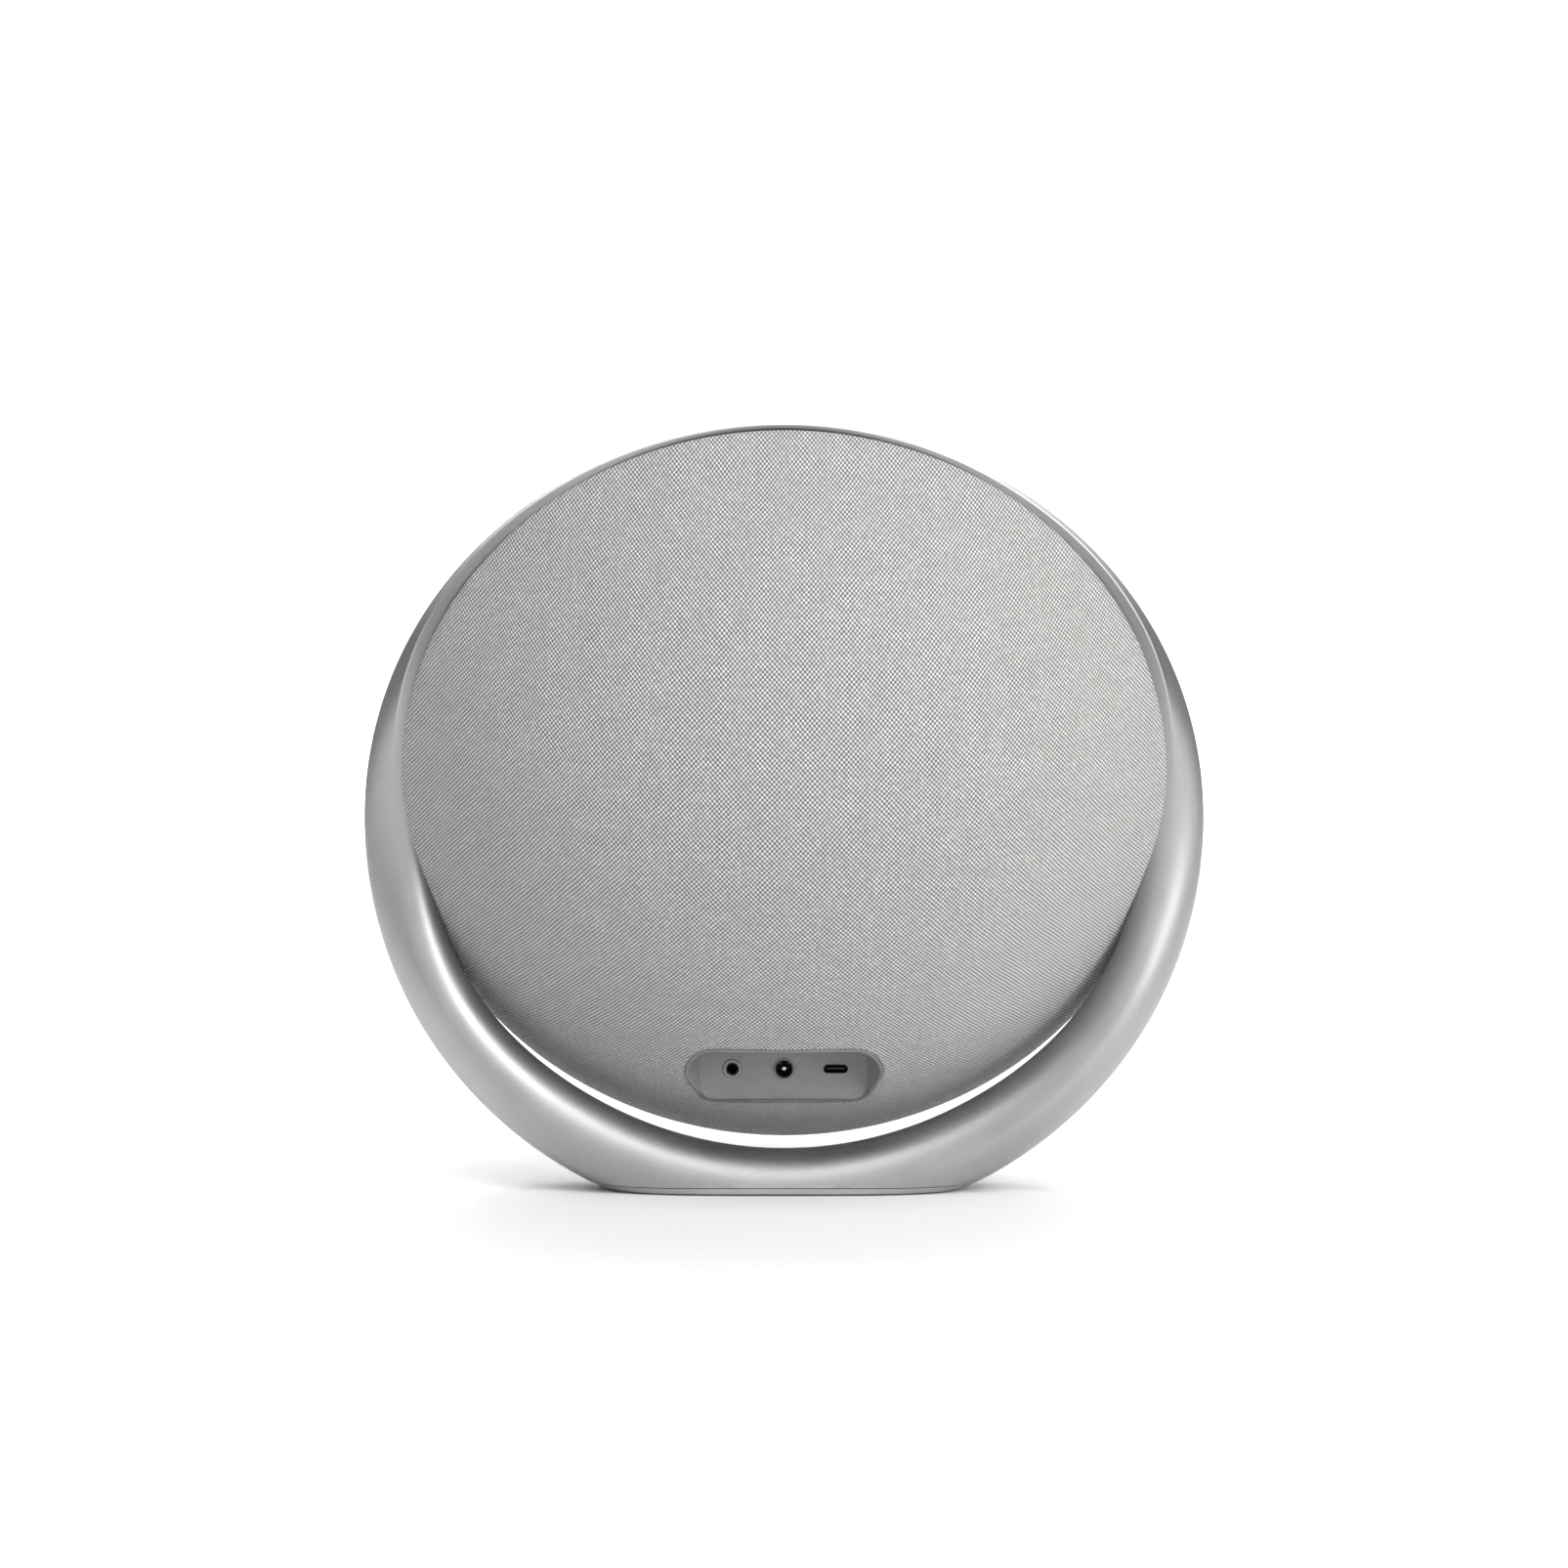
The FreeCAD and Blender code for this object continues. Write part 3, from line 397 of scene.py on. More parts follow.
def dome_cover(ball, rise, side, edge_z):
    """Cloth over a dome: side 1 is the front, -1 the rear. The edge turns in over the rim."""
    centre = side * (rise - ball)
    seam_angle = math.acos(max(-1, min(1, (side * edge_z - side * centre) / ball)))
    roll = 1.0
    profile = []
    steps = 130
    for i in range(1, steps + 1):
        angle = (seam_angle - roll / ball) * i / steps
        profile.append((ball * math.sin(angle), centre + side * ball * math.cos(angle), ball * angle))
    mid = seam_angle - roll / ball
    tangent = Vector((math.cos(mid), -side * math.sin(mid)))
    inward = Vector((-math.sin(mid), -side * math.cos(mid)))
    start = Vector(profile[-1][:2])
    for i in range(1, 8):
        bend = math.radians(100) * i / 7
        spot = start + roll * (tangent * math.sin(bend) + inward * (1 - math.cos(bend)))
        profile.append((spot.x, spot.y, ball * mid + roll * bend))
    return profile


def turned_cover(profile, spokes=512, swell=0.0):
    """Cloth mesh turned about the body's axis, with its flat coordinates at each point.
    Its edge may swell outwards over the upper half, where it is tucked behind the rim."""
    made = bmesh.new()
    flat = made.verts.layers.float_vector.new("cloth_mm")
    pole_z = profile[0][1]
    pole = made.verts.new((0, 0, pole_z * MM))
    rows = []
    for radius, z, along in profile:
        row = []
        near_edge = max(0.0, 1 - (profile[-1][2] - along) / 22)
        near_edge *= near_edge * (3 - 2 * near_edge)
        for i in range(spokes):
            turn = 2 * math.pi * i / spokes
            reach = radius + swell * near_edge * max(0.0, math.sin(turn)) ** 0.6
            vert = made.verts.new((reach * math.cos(turn) * MM, reach * math.sin(turn) * MM, z * MM))
            vert[flat] = Vector((along * math.cos(turn), along * math.sin(turn), 0))
            row.append(vert)
        rows.append(row)
    for i in range(spokes):
        made.faces.new((pole, rows[0][i], rows[0][(i + 1) % spokes]))
    for one, two in zip(rows, rows[1:]):
        for i in range(spokes):
            j = (i + 1) % spokes
            made.faces.new((one[i], one[j], two[j], two[i]))
    bmesh.ops.transform(made, matrix=to_world, verts=made.verts)
    return made


def thicken(piece, inside):
    """Give cloth its thickness on the side away from the outside."""
    solid = piece.modifiers.new("thickness", "SOLIDIFY")
    solid.thickness = inside * MM
    solid.offset = -1
    return solid


rear_profile = dome_cover(REAR_BALL, REAR_RISE, -1, -0.6)
rear_mesh = turned_cover(rear_profile, swell=2.1)
BALL_CENTRE = to_world @ Vector((0, 0, (REAR_BALL - REAR_RISE) * MM)) / MM


def carve(piece, cutter):
    """Cut a piece with a closed bmesh, for good."""
    mesh = bpy.data.meshes.new("cutter")
    bmesh.ops.recalc_face_normals(cutter, faces=cutter.faces[:])
    cutter.to_mesh(mesh)
    cutter.free()
    tool = bpy.data.objects.new("cutter", mesh)
    bpy.context.scene.collection.objects.link(tool)
    cut = piece.modifiers.new("cut", "BOOLEAN")
    cut.operation = "DIFFERENCE"
    cut.solver = "EXACT"
    cut.object = tool
    graph = bpy.context.evaluated_depsgraph_get()
    shaped = bpy.data.meshes.new_from_object(piece.evaluated_get(graph), depsgraph=graph)
    piece.modifiers.clear()
    piece.data = shaped
    bpy.data.objects.remove(tool)


# The port recess: a level oblong whose ends flare from its floor to its mouth.
PORT_Z, RECESS_Z = 43.6, 42.7
FLOOR_Y = 8.0
FLOOR_WIDTH, MOUTH_WIDTH, RECESS_HEIGHT = 60.0, 68.0, 20.0
FLOOR_CORNER, MOUTH_CORNER, FLARE = 5.0, 9.6, 10.7
CORNER_STEPS, SIDE_STEPS = 16, 24


def recess_point(index, grow, y):
    """One point of the recess's outline, counted round from the top left."""
    share = max(0.0, min(1.0, (y - FLOOR_Y) / FLARE))
    half_x = (FLOOR_WIDTH + (MOUTH_WIDTH - FLOOR_WIDTH) * share) / 2 + grow
    half_z = RECESS_HEIGHT / 2 + grow
    corner = max(0.5, FLOOR_CORNER + (MOUTH_CORNER - FLOOR_CORNER) * share + grow)
    quarter, step = divmod(index, CORNER_STEPS + SIDE_STEPS)
    corner_x, corner_z = half_x - corner, half_z - corner
    centres = ((corner_x, corner_z), (corner_x, -corner_z), (-corner_x, -corner_z), (-corner_x, corner_z))
    turn = math.radians(90 * quarter + 90 * min(step, CORNER_STEPS) / CORNER_STEPS)
    x = centres[quarter][0] + corner * math.sin(turn)
    z = centres[quarter][1] + corner * math.cos(turn)
    if step > CORNER_STEPS:
        along = (step - CORNER_STEPS) / SIDE_STEPS
        after = centres[(quarter + 1) % 4]
        x += (after[0] - centres[quarter][0]) * along
        z += (after[1] - centres[quarter][1]) * along
    return x, RECESS_Z + z


RECESS_POINTS = 4 * (CORNER_STEPS + SIDE_STEPS)


def recess_outline(grow, y):
    outline = []
    for index in range(RECESS_POINTS):
        x, z = recess_point(index, grow, y)
        outline.append(Vector((x, y, z)) * MM)
    return outline


rear_cover = finish_piece("rear_fabric_cover", rear_mesh, grey_knit, 80)
thicken(rear_cover, CLOTH * 0.9)
hole = [recess_outline(1.2, y) for y in (4.0, FLOOR_Y, FLOOR_Y + FLARE, 60.0)]
carve(rear_cover, loops_to_mesh(hole, close_ends=True))
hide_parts("rear_fabric")

# ---------------------------------------------------------------- Port tray
# Moulded tray of mid-grey plastic with a fine spark texture. Its floor is
# upright, its roof runs deep into the dome, and a rolled lip traps the cloth.

spark = Finish("tray plastic")
fine = spark.noise(1700, 3, 0.65)
soil = spark.noise(90, 4, 0.6)
tone = spark.ramp(fine, (0.3, (0.21, 0.21, 0.212)), (0.72, (0.26, 0.26, 0.262)))
tray_material = spark.set(
    Base_Color=spark.mix(spark.grey(soil, 0, 0.25, 0.5, 0.8), tone, (0.3, 0.3, 0.3)),
    Roughness=spark.grey(fine, 0.48, 0.62), Specular_IOR_Level=0.45,
    Normal=spark.bump(fine, 0.00007, 0.6))


def dome_y(x, z, lift):
    """Where the rear dome's outside is, lifted by some mm, over a point of the tray."""
    reach = (REAR_BALL + lift) ** 2 - x * x - (z - BALL_CENTRE.z) ** 2
    return BALL_CENTRE.y + math.sqrt(reach)


def tray_rim(grow, lift):
    """The recess's outline where it meets the dome, grown and lifted."""
    points = []
    for index in range(RECESS_POINTS):
        y = FLOOR_Y
        for again in range(7):
            x, z = recess_point(index, grow, y)
            y = dome_y(x, z, lift)
        points.append(Vector((x, y, z)) * MM)
    return points


def between(one, two, share):
    return [a.lerp(b, share) for a, b in zip(one, two)]


floor_edge = recess_outline(-0.9, FLOOR_Y)
wall_foot = [point + Vector((0, 0.9 * MM, 0)) for point in recess_outline(0, FLOOR_Y)]
corner = between(recess_outline(-0.27, FLOOR_Y), wall_foot, 0.28)
lip_in = tray_rim(0.0, -0.6)
loops = [floor_edge, corner, wall_foot]
for step in range(1, 10):
    row = []
    for index, rim_point in enumerate(lip_in):
        y = FLOOR_Y + 0.9 + (rim_point.y / MM - FLOOR_Y - 0.9) * step / 10
        x, z = recess_point(index, 0, y)
        row.append(Vector((x, y, z)) * MM)
    loops.append(row)
loops.append(lip_in)
loops += [tray_rim(0.1, -0.15), tray_rim(0.3, 0.15), tray_rim(0.7, 0.25), tray_rim(1.0, 0.12),
          tray_rim(1.12, -0.25), tray_rim(1.15, -1.6)]
tray_mesh = loops_to_mesh(loops)
SOCKETS = ((18.4, 3.4), (0.0, 3.75))
tray_mesh.verts.ensure_lookup_table()
outer = [tray_mesh.verts[i] for i in range(len(floor_edge))]
edges = [tray_mesh.edges.get((outer[i], outer[(i + 1) % len(outer)])) for i in range(len(outer))]


def ring_of_edges(made, points):
    verts = [made.verts.new(point) for point in points]
    return [made.edges.new((verts[i], verts[(i + 1) % len(verts)])) for i in range(len(verts))]


def pill_points(x, y, width, height, count=48):
    """Points round a level pill shape facing the back."""
    r = height / 2
    side = width / 2 - r
    points = []
    for i in range(count):
        turn = 2 * math.pi * i / count
        offset = side if math.cos(turn) >= 0 else -side
        points.append(Vector((x + offset + r * math.cos(turn), y, PORT_Z + r * math.sin(turn))) * MM)
    return points


USB_X = -18.4
for x, r in SOCKETS:
    r += 0.12
    circle = [Vector((x + r * math.cos(a), FLOOR_Y, PORT_Z + r * math.sin(a))) * MM
              for a in (2 * math.pi * i / 48 for i in range(48))]
    edges += ring_of_edges(tray_mesh, circle)
edges += ring_of_edges(tray_mesh, pill_points(USB_X, FLOOR_Y, 8.9, 3.22))
bmesh.ops.triangle_fill(tray_mesh, edges=edges, use_beauty=True, normal=(0, 1, 0))
tray = finish_piece("port_tray_moulding", tray_mesh, tray_material, 50)
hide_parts("port_tray", "port_panel")

# ---------------------------------------------------------------- Round sockets
# A 3.5 mm stereo socket and a 5.5 mm power socket, each a moulded black nose
# in its own hole of the tray, with sprung contacts inside.

moulded = Finish("socket plastic")
skin = moulded.noise(2400, 3, 0.6)
rub = moulded.noise(500, 4, 0.7)
socket_material = moulded.set(
    Base_Color=moulded.ramp(rub, (0.35, (0.008, 0.008, 0.009)), (0.8, (0.025, 0.025, 0.025))),
    Roughness=moulded.grey(skin, 0.5, 0.7), Normal=moulded.bump(skin, 0.00003, 0.5))
plating = Finish("nickel contact")
scuff = plating.noise(1500, 4, 0.7)
contact_material = plating.set(
    Base_Color=plating.ramp(scuff, (0.3, (0.55, 0.54, 0.52)), (0.8, (0.75, 0.74, 0.71))),
    Metallic=1.0, Roughness=plating.grey(scuff, 0.12, 0.3),
    Normal=plating.bump(scuff, 0.00002, 0.4))


def lathe_y(x, profile, count=64):
    """Mesh turned about a level axis through a port, from (radius, y) pairs."""
    loops = []
    for r, y in profile:
        loops.append([Vector((x + r * math.cos(a), y, PORT_Z + r * math.sin(a))) * MM
                      for a in (2 * math.pi * i / count for i in range(count))])
    return loops_to_mesh(loops, close_ends=True)


def socket_profile(nose, hole, depth):
    front = FLOOR_Y + 0.4
    return [
        (hole + 0.8, front - depth - 0.8), (hole + 0.8, FLOOR_Y - 1.95), (nose, FLOOR_Y - 1.9), (nose, front - 0.25), (nose - 0.08, front - 0.08), (nose - 0.25, front),
        (hole + 0.62, front), (hole + 0.5, front - 0.05), (hole + 0.08, front - 0.45),
        (hole, front - 0.6), (hole, front - 3.4), (hole - 0.12, front - 3.6),
        (hole - 0.12, front - 4.6), (hole, front - 4.8), (hole, front - depth),
    ]


for name, x, nose, hole, depth, node in (
        ("stereo_socket_nose", 18.4, 3.4, 1.8, 13.9, "stereo_socket"),
        ("power_socket_nose", 0.0, 3.75, 2.75, 9.9, "power_socket")):
    piece = finish_piece(name, lathe_y(x, socket_profile(nose, hole, depth)), tray_material, 40)
    piece.data.materials.append(socket_material)
    for face in piece.data.polygons:
        if math.hypot(face.center.x - x * MM, face.center.z - PORT_Z * MM) < (hole + 0.55) * MM:
            face.material_index = 1
    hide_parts(node)

pin_front = FLOOR_Y - 1.0
pin_profile = [(1.0, 3.0), (1.0, pin_front - 0.7), (0.94, pin_front - 0.4), (0.72, pin_front - 0.1), (0.4, pin_front)]
pin = finish_piece("power_socket_pin", lathe_y(0, pin_profile, 40), contact_material, 60)
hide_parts("power_pin")


def bent_strip(path, width, thick, name, material):
    """A narrow sprung strip that follows points, wide along X."""
    loops = []
    for i, point in enumerate(path):
        ahead = path[min(i + 1, len(path) - 1)] - path[max(i - 1, 0)]
        side = Vector((width / 2 * MM, 0, 0))
        up = Vector((0, -ahead.z, ahead.y)).normalized() * thick / 2 * MM
        loops.append([point + side + up, point - side + up, point - side - up, point + side - up])
    return finish_piece(name, loops_to_mesh(loops, close_ends=True), material, 30)


# Sprung contacts high in each hole, where they catch the light.
for name, x, leg, reach, rise in (
        ("stereo_contact", 18.4, 0.0, 8.0, 1.6), ("power_contact_left", 0.0, 1.45, 6.5, 1.85),
        ("power_contact_right", 0.0, -1.45, 6.5, 1.85)):
    start = FLOOR_Y - (3.0 if leg == 0 else 0.9)
    path = []
    for i in range(13):
        dip = 0.6 * math.sin(math.pi * i / 12)
        path.append(Vector((x + leg, start - reach * i / 12, PORT_Z + rise - dip)) * MM)
    bent_strip(path, 0.75, 0.18, name, contact_material)

# ---------------------------------------------------------------- USB-C socket
# Drawn steel shell, blackened and flush with the tray, round a moulded tongue
# that carries two rows of gold contacts.

shell_y = FLOOR_Y + 0.1
shell_loops = [
    pill_points(USB_X, shell_y - 1.9, 8.92, 3.24), pill_points(USB_X, shell_y - 0.1, 8.92, 3.24),
    pill_points(USB_X, shell_y, 8.78, 3.1), pill_points(USB_X, shell_y, 8.5, 2.82),
    pill_points(USB_X, shell_y - 0.12, 8.36, 2.68), pill_points(USB_X, shell_y - 8.0, 8.34, 2.66),
]
usb = loops_to_mesh(shell_loops)
usb.verts.ensure_lookup_table()
usb.faces.new([usb.verts[i] for i in range(len(usb.verts) - 48, len(usb.verts))])
blacked = Finish("blackened steel")
scuff = blacked.noise(1500, 4, 0.7)
dark_shell_material = blacked.set(
    Base_Color=blacked.ramp(scuff, (0.3, (0.03, 0.03, 0.032)), (0.8, (0.09, 0.09, 0.09))),
    Metallic=0.8, Roughness=blacked.grey(scuff, 0.35, 0.5), Normal=blacked.bump(scuff, 0.00002, 0.4))
usb_shell = finish_piece("usb_socket_shell", usb, dark_shell_material, 40)
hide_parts("usb_shell")


def rounded_block(low, high, round_off, segments=3):
    """Box between two corners in mm, with its edges rounded."""
    made = bmesh.new()
    bmesh.ops.create_cube(made, size=1)
    size = Vector(high) - Vector(low)
    middle = (Vector(high) + Vector(low)) / 2
    for vert in made.verts:
        vert.co = Vector((vert.co.x * size.x, vert.co.y * size.y, vert.co.z * size.z)) + middle
        vert.co *= MM
    bmesh.ops.bevel(made, geom=made.edges[:], offset=round_off * MM, segments=segments,
                    affect="EDGES", profile=0.5)
    return made


tongue_mesh = rounded_block((USB_X - 3.3, shell_y - 8.1, PORT_Z - 0.35), (USB_X + 3.3, shell_y - 1.0, PORT_Z + 0.35), 0.12)
tongue = finish_piece("usb_socket_tongue", tongue_mesh, socket_material, 40)
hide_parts("usb_tongue")
gilt = Finish("gold contact")
rub = gilt.noise(3000, 3)
gold_material = gilt.set(
    Base_Color=gilt.ramp(rub, (0.3, (0.55, 0.40, 0.16)), (0.8, (0.75, 0.58, 0.28))), Metallic=1.0,
    Roughness=gilt.grey(rub, 0.18, 0.34), Normal=gilt.bump(rub, 0.00001, 0.4))
contacts = bmesh.new()
for side in (-1, 1):
    for i in range(12):
        x = USB_X + (i - 5.5) * 0.5
        z = PORT_Z + side * 0.36
        pad = rounded_block((x - 0.14, shell_y - 5.5, z - 0.03), (x + 0.14, shell_y - 1.7, z + 0.03), 0.02, 1)
        spare = bpy.data.meshes.new("spare")
        pad.to_mesh(spare)
        pad.free()
        contacts.from_mesh(spare)
usb_contacts = finish_piece("usb_socket_contacts", contacts, gold_material, 40)

# ---------------------------------------------------------------- Seam gasket
# Soft black rubber ring pinched between the two halves of the body. Only a
# dark line of it shows below the ring.

seam_rubber = Finish("gasket rubber")
pores = seam_rubber.noise(1200, 4, 0.7)
gasket_material = seam_rubber.set(
    Base_Color=seam_rubber.ramp(pores, (0.3, (0.012, 0.012, 0.012)), (0.8, (0.04, 0.04, 0.04))),
    Roughness=seam_rubber.grey(pores, 0.7, 0.9), Normal=seam_rubber.bump(pores, 0.00005, 0.5))
gasket_loops = []
for r, z in ((SEAM_R - 6.5, -0.6), (SEAM_R - 1.5, -0.6), (SEAM_R - 0.95, -0.4), (SEAM_R - 0.75, 0),
             (SEAM_R - 0.95, 0.4), (SEAM_R - 1.5, 0.6), (SEAM_R - 6.5, 0.6)):
    gasket_loops.append([to_world @ (Vector((r * math.cos(a), r * math.sin(a), z)) * MM)
                         for a in (2 * math.pi * i / 360 for i in range(360))])
gasket = finish_piece("seam_gasket_ring", loops_to_mesh(gasket_loops, wrap=True), gasket_material, 60)
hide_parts("seam_gasket")

# ---------------------------------------------------------------- Front cover
# The same cloth over the front dome, with an opening for the button strip.

front_profile = dome_cover(FRONT_BALL, FRONT_RISE, 1, 0.6)
front_cover = finish_piece("front_fabric_cover", turned_cover(front_profile), grey_knit, 80)
thicken(front_cover, CLOTH * 0.9)
BUTTON_CIRCLE = 112.0
BUTTON_PITCH = 19.0
row_lean = math.asin(BUTTON_CIRCLE / FRONT_BALL)
FRONT_CENTRE = FRONT_RISE - FRONT_BALL


def on_row(steps, across, along, up):
    """World point on the button row: steps along it, then mm across, along the body and up."""
    turn = steps * BUTTON_PITCH / BUTTON_CIRCLE
    reach = FRONT_BALL + up
    spot = Vector((across, reach * math.sin(row_lean) + along * math.cos(row_lean),
                   reach * math.cos(row_lean) - along * math.sin(row_lean) + FRONT_CENTRE))
    return to_world @ (Matrix.Rotation(-turn, 3, "Z") @ spot * MM)


def row_loop(half, up, count=16, spread=2.3):
    """Outline of the button strip, followed round the row, at a height over the dome."""
    points = []
    for i in range(count * 4 + 1):
        points.append(on_row(-spread + 2 * spread * i / (count * 4), 0, half, up))
    for i in range(1, count):
        turn = math.pi * i / count
        points.append(on_row(spread, half * math.sin(turn), half * math.cos(turn), up))
    for i in range(count * 4 + 1):
        points.append(on_row(spread - 2 * spread * i / (count * 4), 0, -half, up))
    for i in range(1, count):
        turn = math.pi * i / count
        points.append(on_row(-spread, -half * math.sin(turn), -half * math.cos(turn), up))
    return points


carve(front_cover, loops_to_mesh([row_loop(7.3, -6), row_loop(7.3, 6)], close_ends=True))
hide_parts("front_fabric")

# ---------------------------------------------------------------- Button strip
# Curved bar of soft-touch plastic let into the cloth, with a rolled edge and a
# clear dot for the status light.

touch = Finish("strip soft touch")
peach = touch.noise(2200, 3, 0.6)
smudge = touch.noise(120, 4, 0.65)
strip_material = touch.set(
    Base_Color=touch.ramp(smudge, (0.35, (0.070, 0.070, 0.072)), (0.75, (0.10, 0.10, 0.102))),
    Roughness=touch.grey(smudge, 0.5, 0.66), Normal=touch.bump(peach, 0.00004, 0.5))
CAP_R = 5.5
strip_loops = [row_loop(7.35, -2.5), row_loop(7.45, -0.3), row_loop(7.4, 0.1), row_loop(7.2, 0.28),
               row_loop(6.9, 0.3), row_loop(6.5, 0.22)]
strip_mesh = loops_to_mesh(strip_loops)
strip_mesh.verts.ensure_lookup_table()
count = len(strip_loops[0])
last = strip_mesh.verts[len(strip_mesh.verts) - count:]
edges = [strip_mesh.edges.get((last[i], last[(i + 1) % count])) for i in range(count)]


def cap_circle(steps, r, up, count=40):
    return [on_row(steps, r * math.cos(a), r * math.sin(a), up)
            for a in (2 * math.pi * i / count for i in range(count))]


for steps in range(-2, 3):
    edges += ring_of_edges(strip_mesh, cap_circle(steps, CAP_R + 0.35, 0.22))
bmesh.ops.triangle_fill(strip_mesh, edges=edges, use_beauty=True)
for steps in range(-2, 3):
    loops = [cap_circle(steps, CAP_R + 0.35, 0.22), cap_circle(steps, CAP_R + 0.16, 0.1), cap_circle(steps, CAP_R + 0.1, -2.6)]
    well = loops_to_mesh(loops)
    spare = bpy.data.meshes.new("spare")
    well.to_mesh(spare)
    well.free()
    strip_mesh.from_mesh(spare)
bmesh.ops.remove_doubles(strip_mesh, verts=strip_mesh.verts[:], dist=0.000001)
strip = finish_piece("button_strip_bar", strip_mesh, strip_material, 40)
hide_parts("button_strip")

clear = Finish("light dot")
haze = clear.noise(900, 2)
dot_material = clear.set(
    Base_Color=clear.ramp(haze, (0.3, (0.75, 0.76, 0.78)), (0.7, (0.9, 0.9, 0.92))),
    Roughness=clear.grey(haze, 0.1, 0.3), Normal=clear.bump(haze, 0.00002, 0.3))
dot_loops = [cap_circle(0.5, r, up, 24) for r, up in ((1.0, -3.0), (1.0, 0.3), (0.85, 0.42), (0.5, 0.48), (0.1, 0.5))]
dot = finish_piece("status_light", loops_to_mesh(dot_loops, close_ends=True), dot_material, 60)
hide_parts("status_lens")

# ---------------------------------------------------------------- Button caps
# Five round caps of soft-touch plastic, each dished for a fingertip, with a
# raised sign. Each one slides straight in against its own spring.

cap_touch = Finish("cap soft touch")
peach = cap_touch.noise(2400, 3, 0.6)
polish = cap_touch.noise(260, 4, 0.7)
cap_material = cap_touch.set(
    Base_Color=cap_touch.ramp(polish, (0.35, (0.10, 0.10, 0.102)), (0.75, (0.14, 0.14, 0.142))),
    Roughness=cap_touch.grey(polish, 0.42, 0.6), Normal=cap_touch.bump(peach, 0.00004, 0.5))
sign_paint = Finish("sign paint")
chalk = sign_paint.noise(1800, 3)
sign_material = sign_paint.set(
    Base_Color=sign_paint.ramp(chalk, (0.3, (0.5, 0.5, 0.5)), (0.7, (0.64, 0.64, 0.64))),
    Roughness=sign_paint.grey(chalk, 0.5, 0.7), Normal=sign_paint.bump(chalk, 0.00002, 0.4))


def arc_line(r, start, end, count=20, x=0.0, y=0.0):
    turns = [math.radians(start + (end - start) * i / count) for i in range(count + 1)]
    return [(x + r * math.sin(a), y + r * math.cos(a)) for a in turns]


SIGNS = {
    "power": [arc_line(1.9, 35, 325), [(0, 0.6), (0, 2.5)]],
    "volume_down": [[(-1.7, 0), (1.7, 0)]],
    "play": [[(-1.1, -1.7), (1.8, 0), (-1.1, 1.7), (-1.1, -1.7)]],
    "volume_up": [[(-1.7, 0), (1.7, 0)], [(0, -1.7), (0, 1.7)]],
    "pairing": [arc_line(0.7, 0, 360), arc_line(1.7, 40, 140), arc_line(1.7, 220, 320)],
}
DISH = 40.0


def cap_top(x, y):
    """Height of a cap's dished top over the dome, at mm from its middle."""
    return 1.2 + 39.7 - math.sqrt(DISH ** 2 - x * x - y * y)


for index, (name, lines) in enumerate(SIGNS.items()):
    steps = index - 2
    body = "key_" + name
    loops = [cap_circle(steps, 5.5, -3.9, 72), cap_circle(steps, 5.5, 0.75, 72),
             cap_circle(steps, 5.42, 1.02, 72), cap_circle(steps, 5.25, 1.15, 72)]
    for r in (4.8, 4.2, 3.4, 2.4, 1.2, 0.3):
        loops.append(cap_circle(steps, r, cap_top(r, 0), 72))
    cap = finish_piece("cap_" + name, loops_to_mesh(loops, close_ends=True), cap_material, 50, body)
    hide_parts("button_" + name)
    marks = bmesh.new()
    for line in lines:
        for (x0, y0), (x1, y1) in zip(line, line[1:]):
            pieces = 6 if len(line) < 6 else 1
            for k in range(pieces):
                a = Vector((x0 + (x1 - x0) * k / pieces, y0 + (y1 - y0) * k / pieces))
                b = Vector((x0 + (x1 - x0) * (k + 1) / pieces, y0 + (y1 - y0) * (k + 1) / pieces))
                go = (b - a).normalized()
                side = Vector((-go.y, go.x)) * 0.17
                a, b = a - go * 0.05, b + go * 0.05
                low, high = [], []
                for p in (a + side, b + side, b - side, a - side):
                    low.append(marks.verts.new(on_row(steps, -p.x, p.y, cap_top(p.x, p.y) - 0.1)))
                    high.append(marks.verts.new(on_row(steps, -p.x, p.y, cap_top(p.x, p.y) + 0.08)))
                marks.faces.new(high)
                marks.faces.new(low[::-1])
                for i in range(4):
                    j = (i + 1) % 4
                    marks.faces.new((low[i], low[j], high[j], high[i]))
    sign = finish_piece("sign_" + name, marks, sign_material, 40, body)

# ---------------------------------------------------------------- Inner pieces
# Shells, baffle, drivers, boards, cells and screws stay as the frame gives
# them, in the plastics, metals and cloths that each one is made of.


def inner_finish(name, dark, light, metal, low, high, scale, depth):
    made = Finish(name)
    speckles = made.noise(scale, 4, 0.65)
    stain = made.noise(scale / 20, 3)
    tone = made.ramp(speckles, (0.3, dark), (0.75, light))
    return made.set(
        Base_Color=made.mix(made.grey(stain, 0, 0.3), tone, dark), Metallic=metal,
        Roughness=made.grey(speckles, low, high), Normal=made.bump(speckles, depth, 0.5))


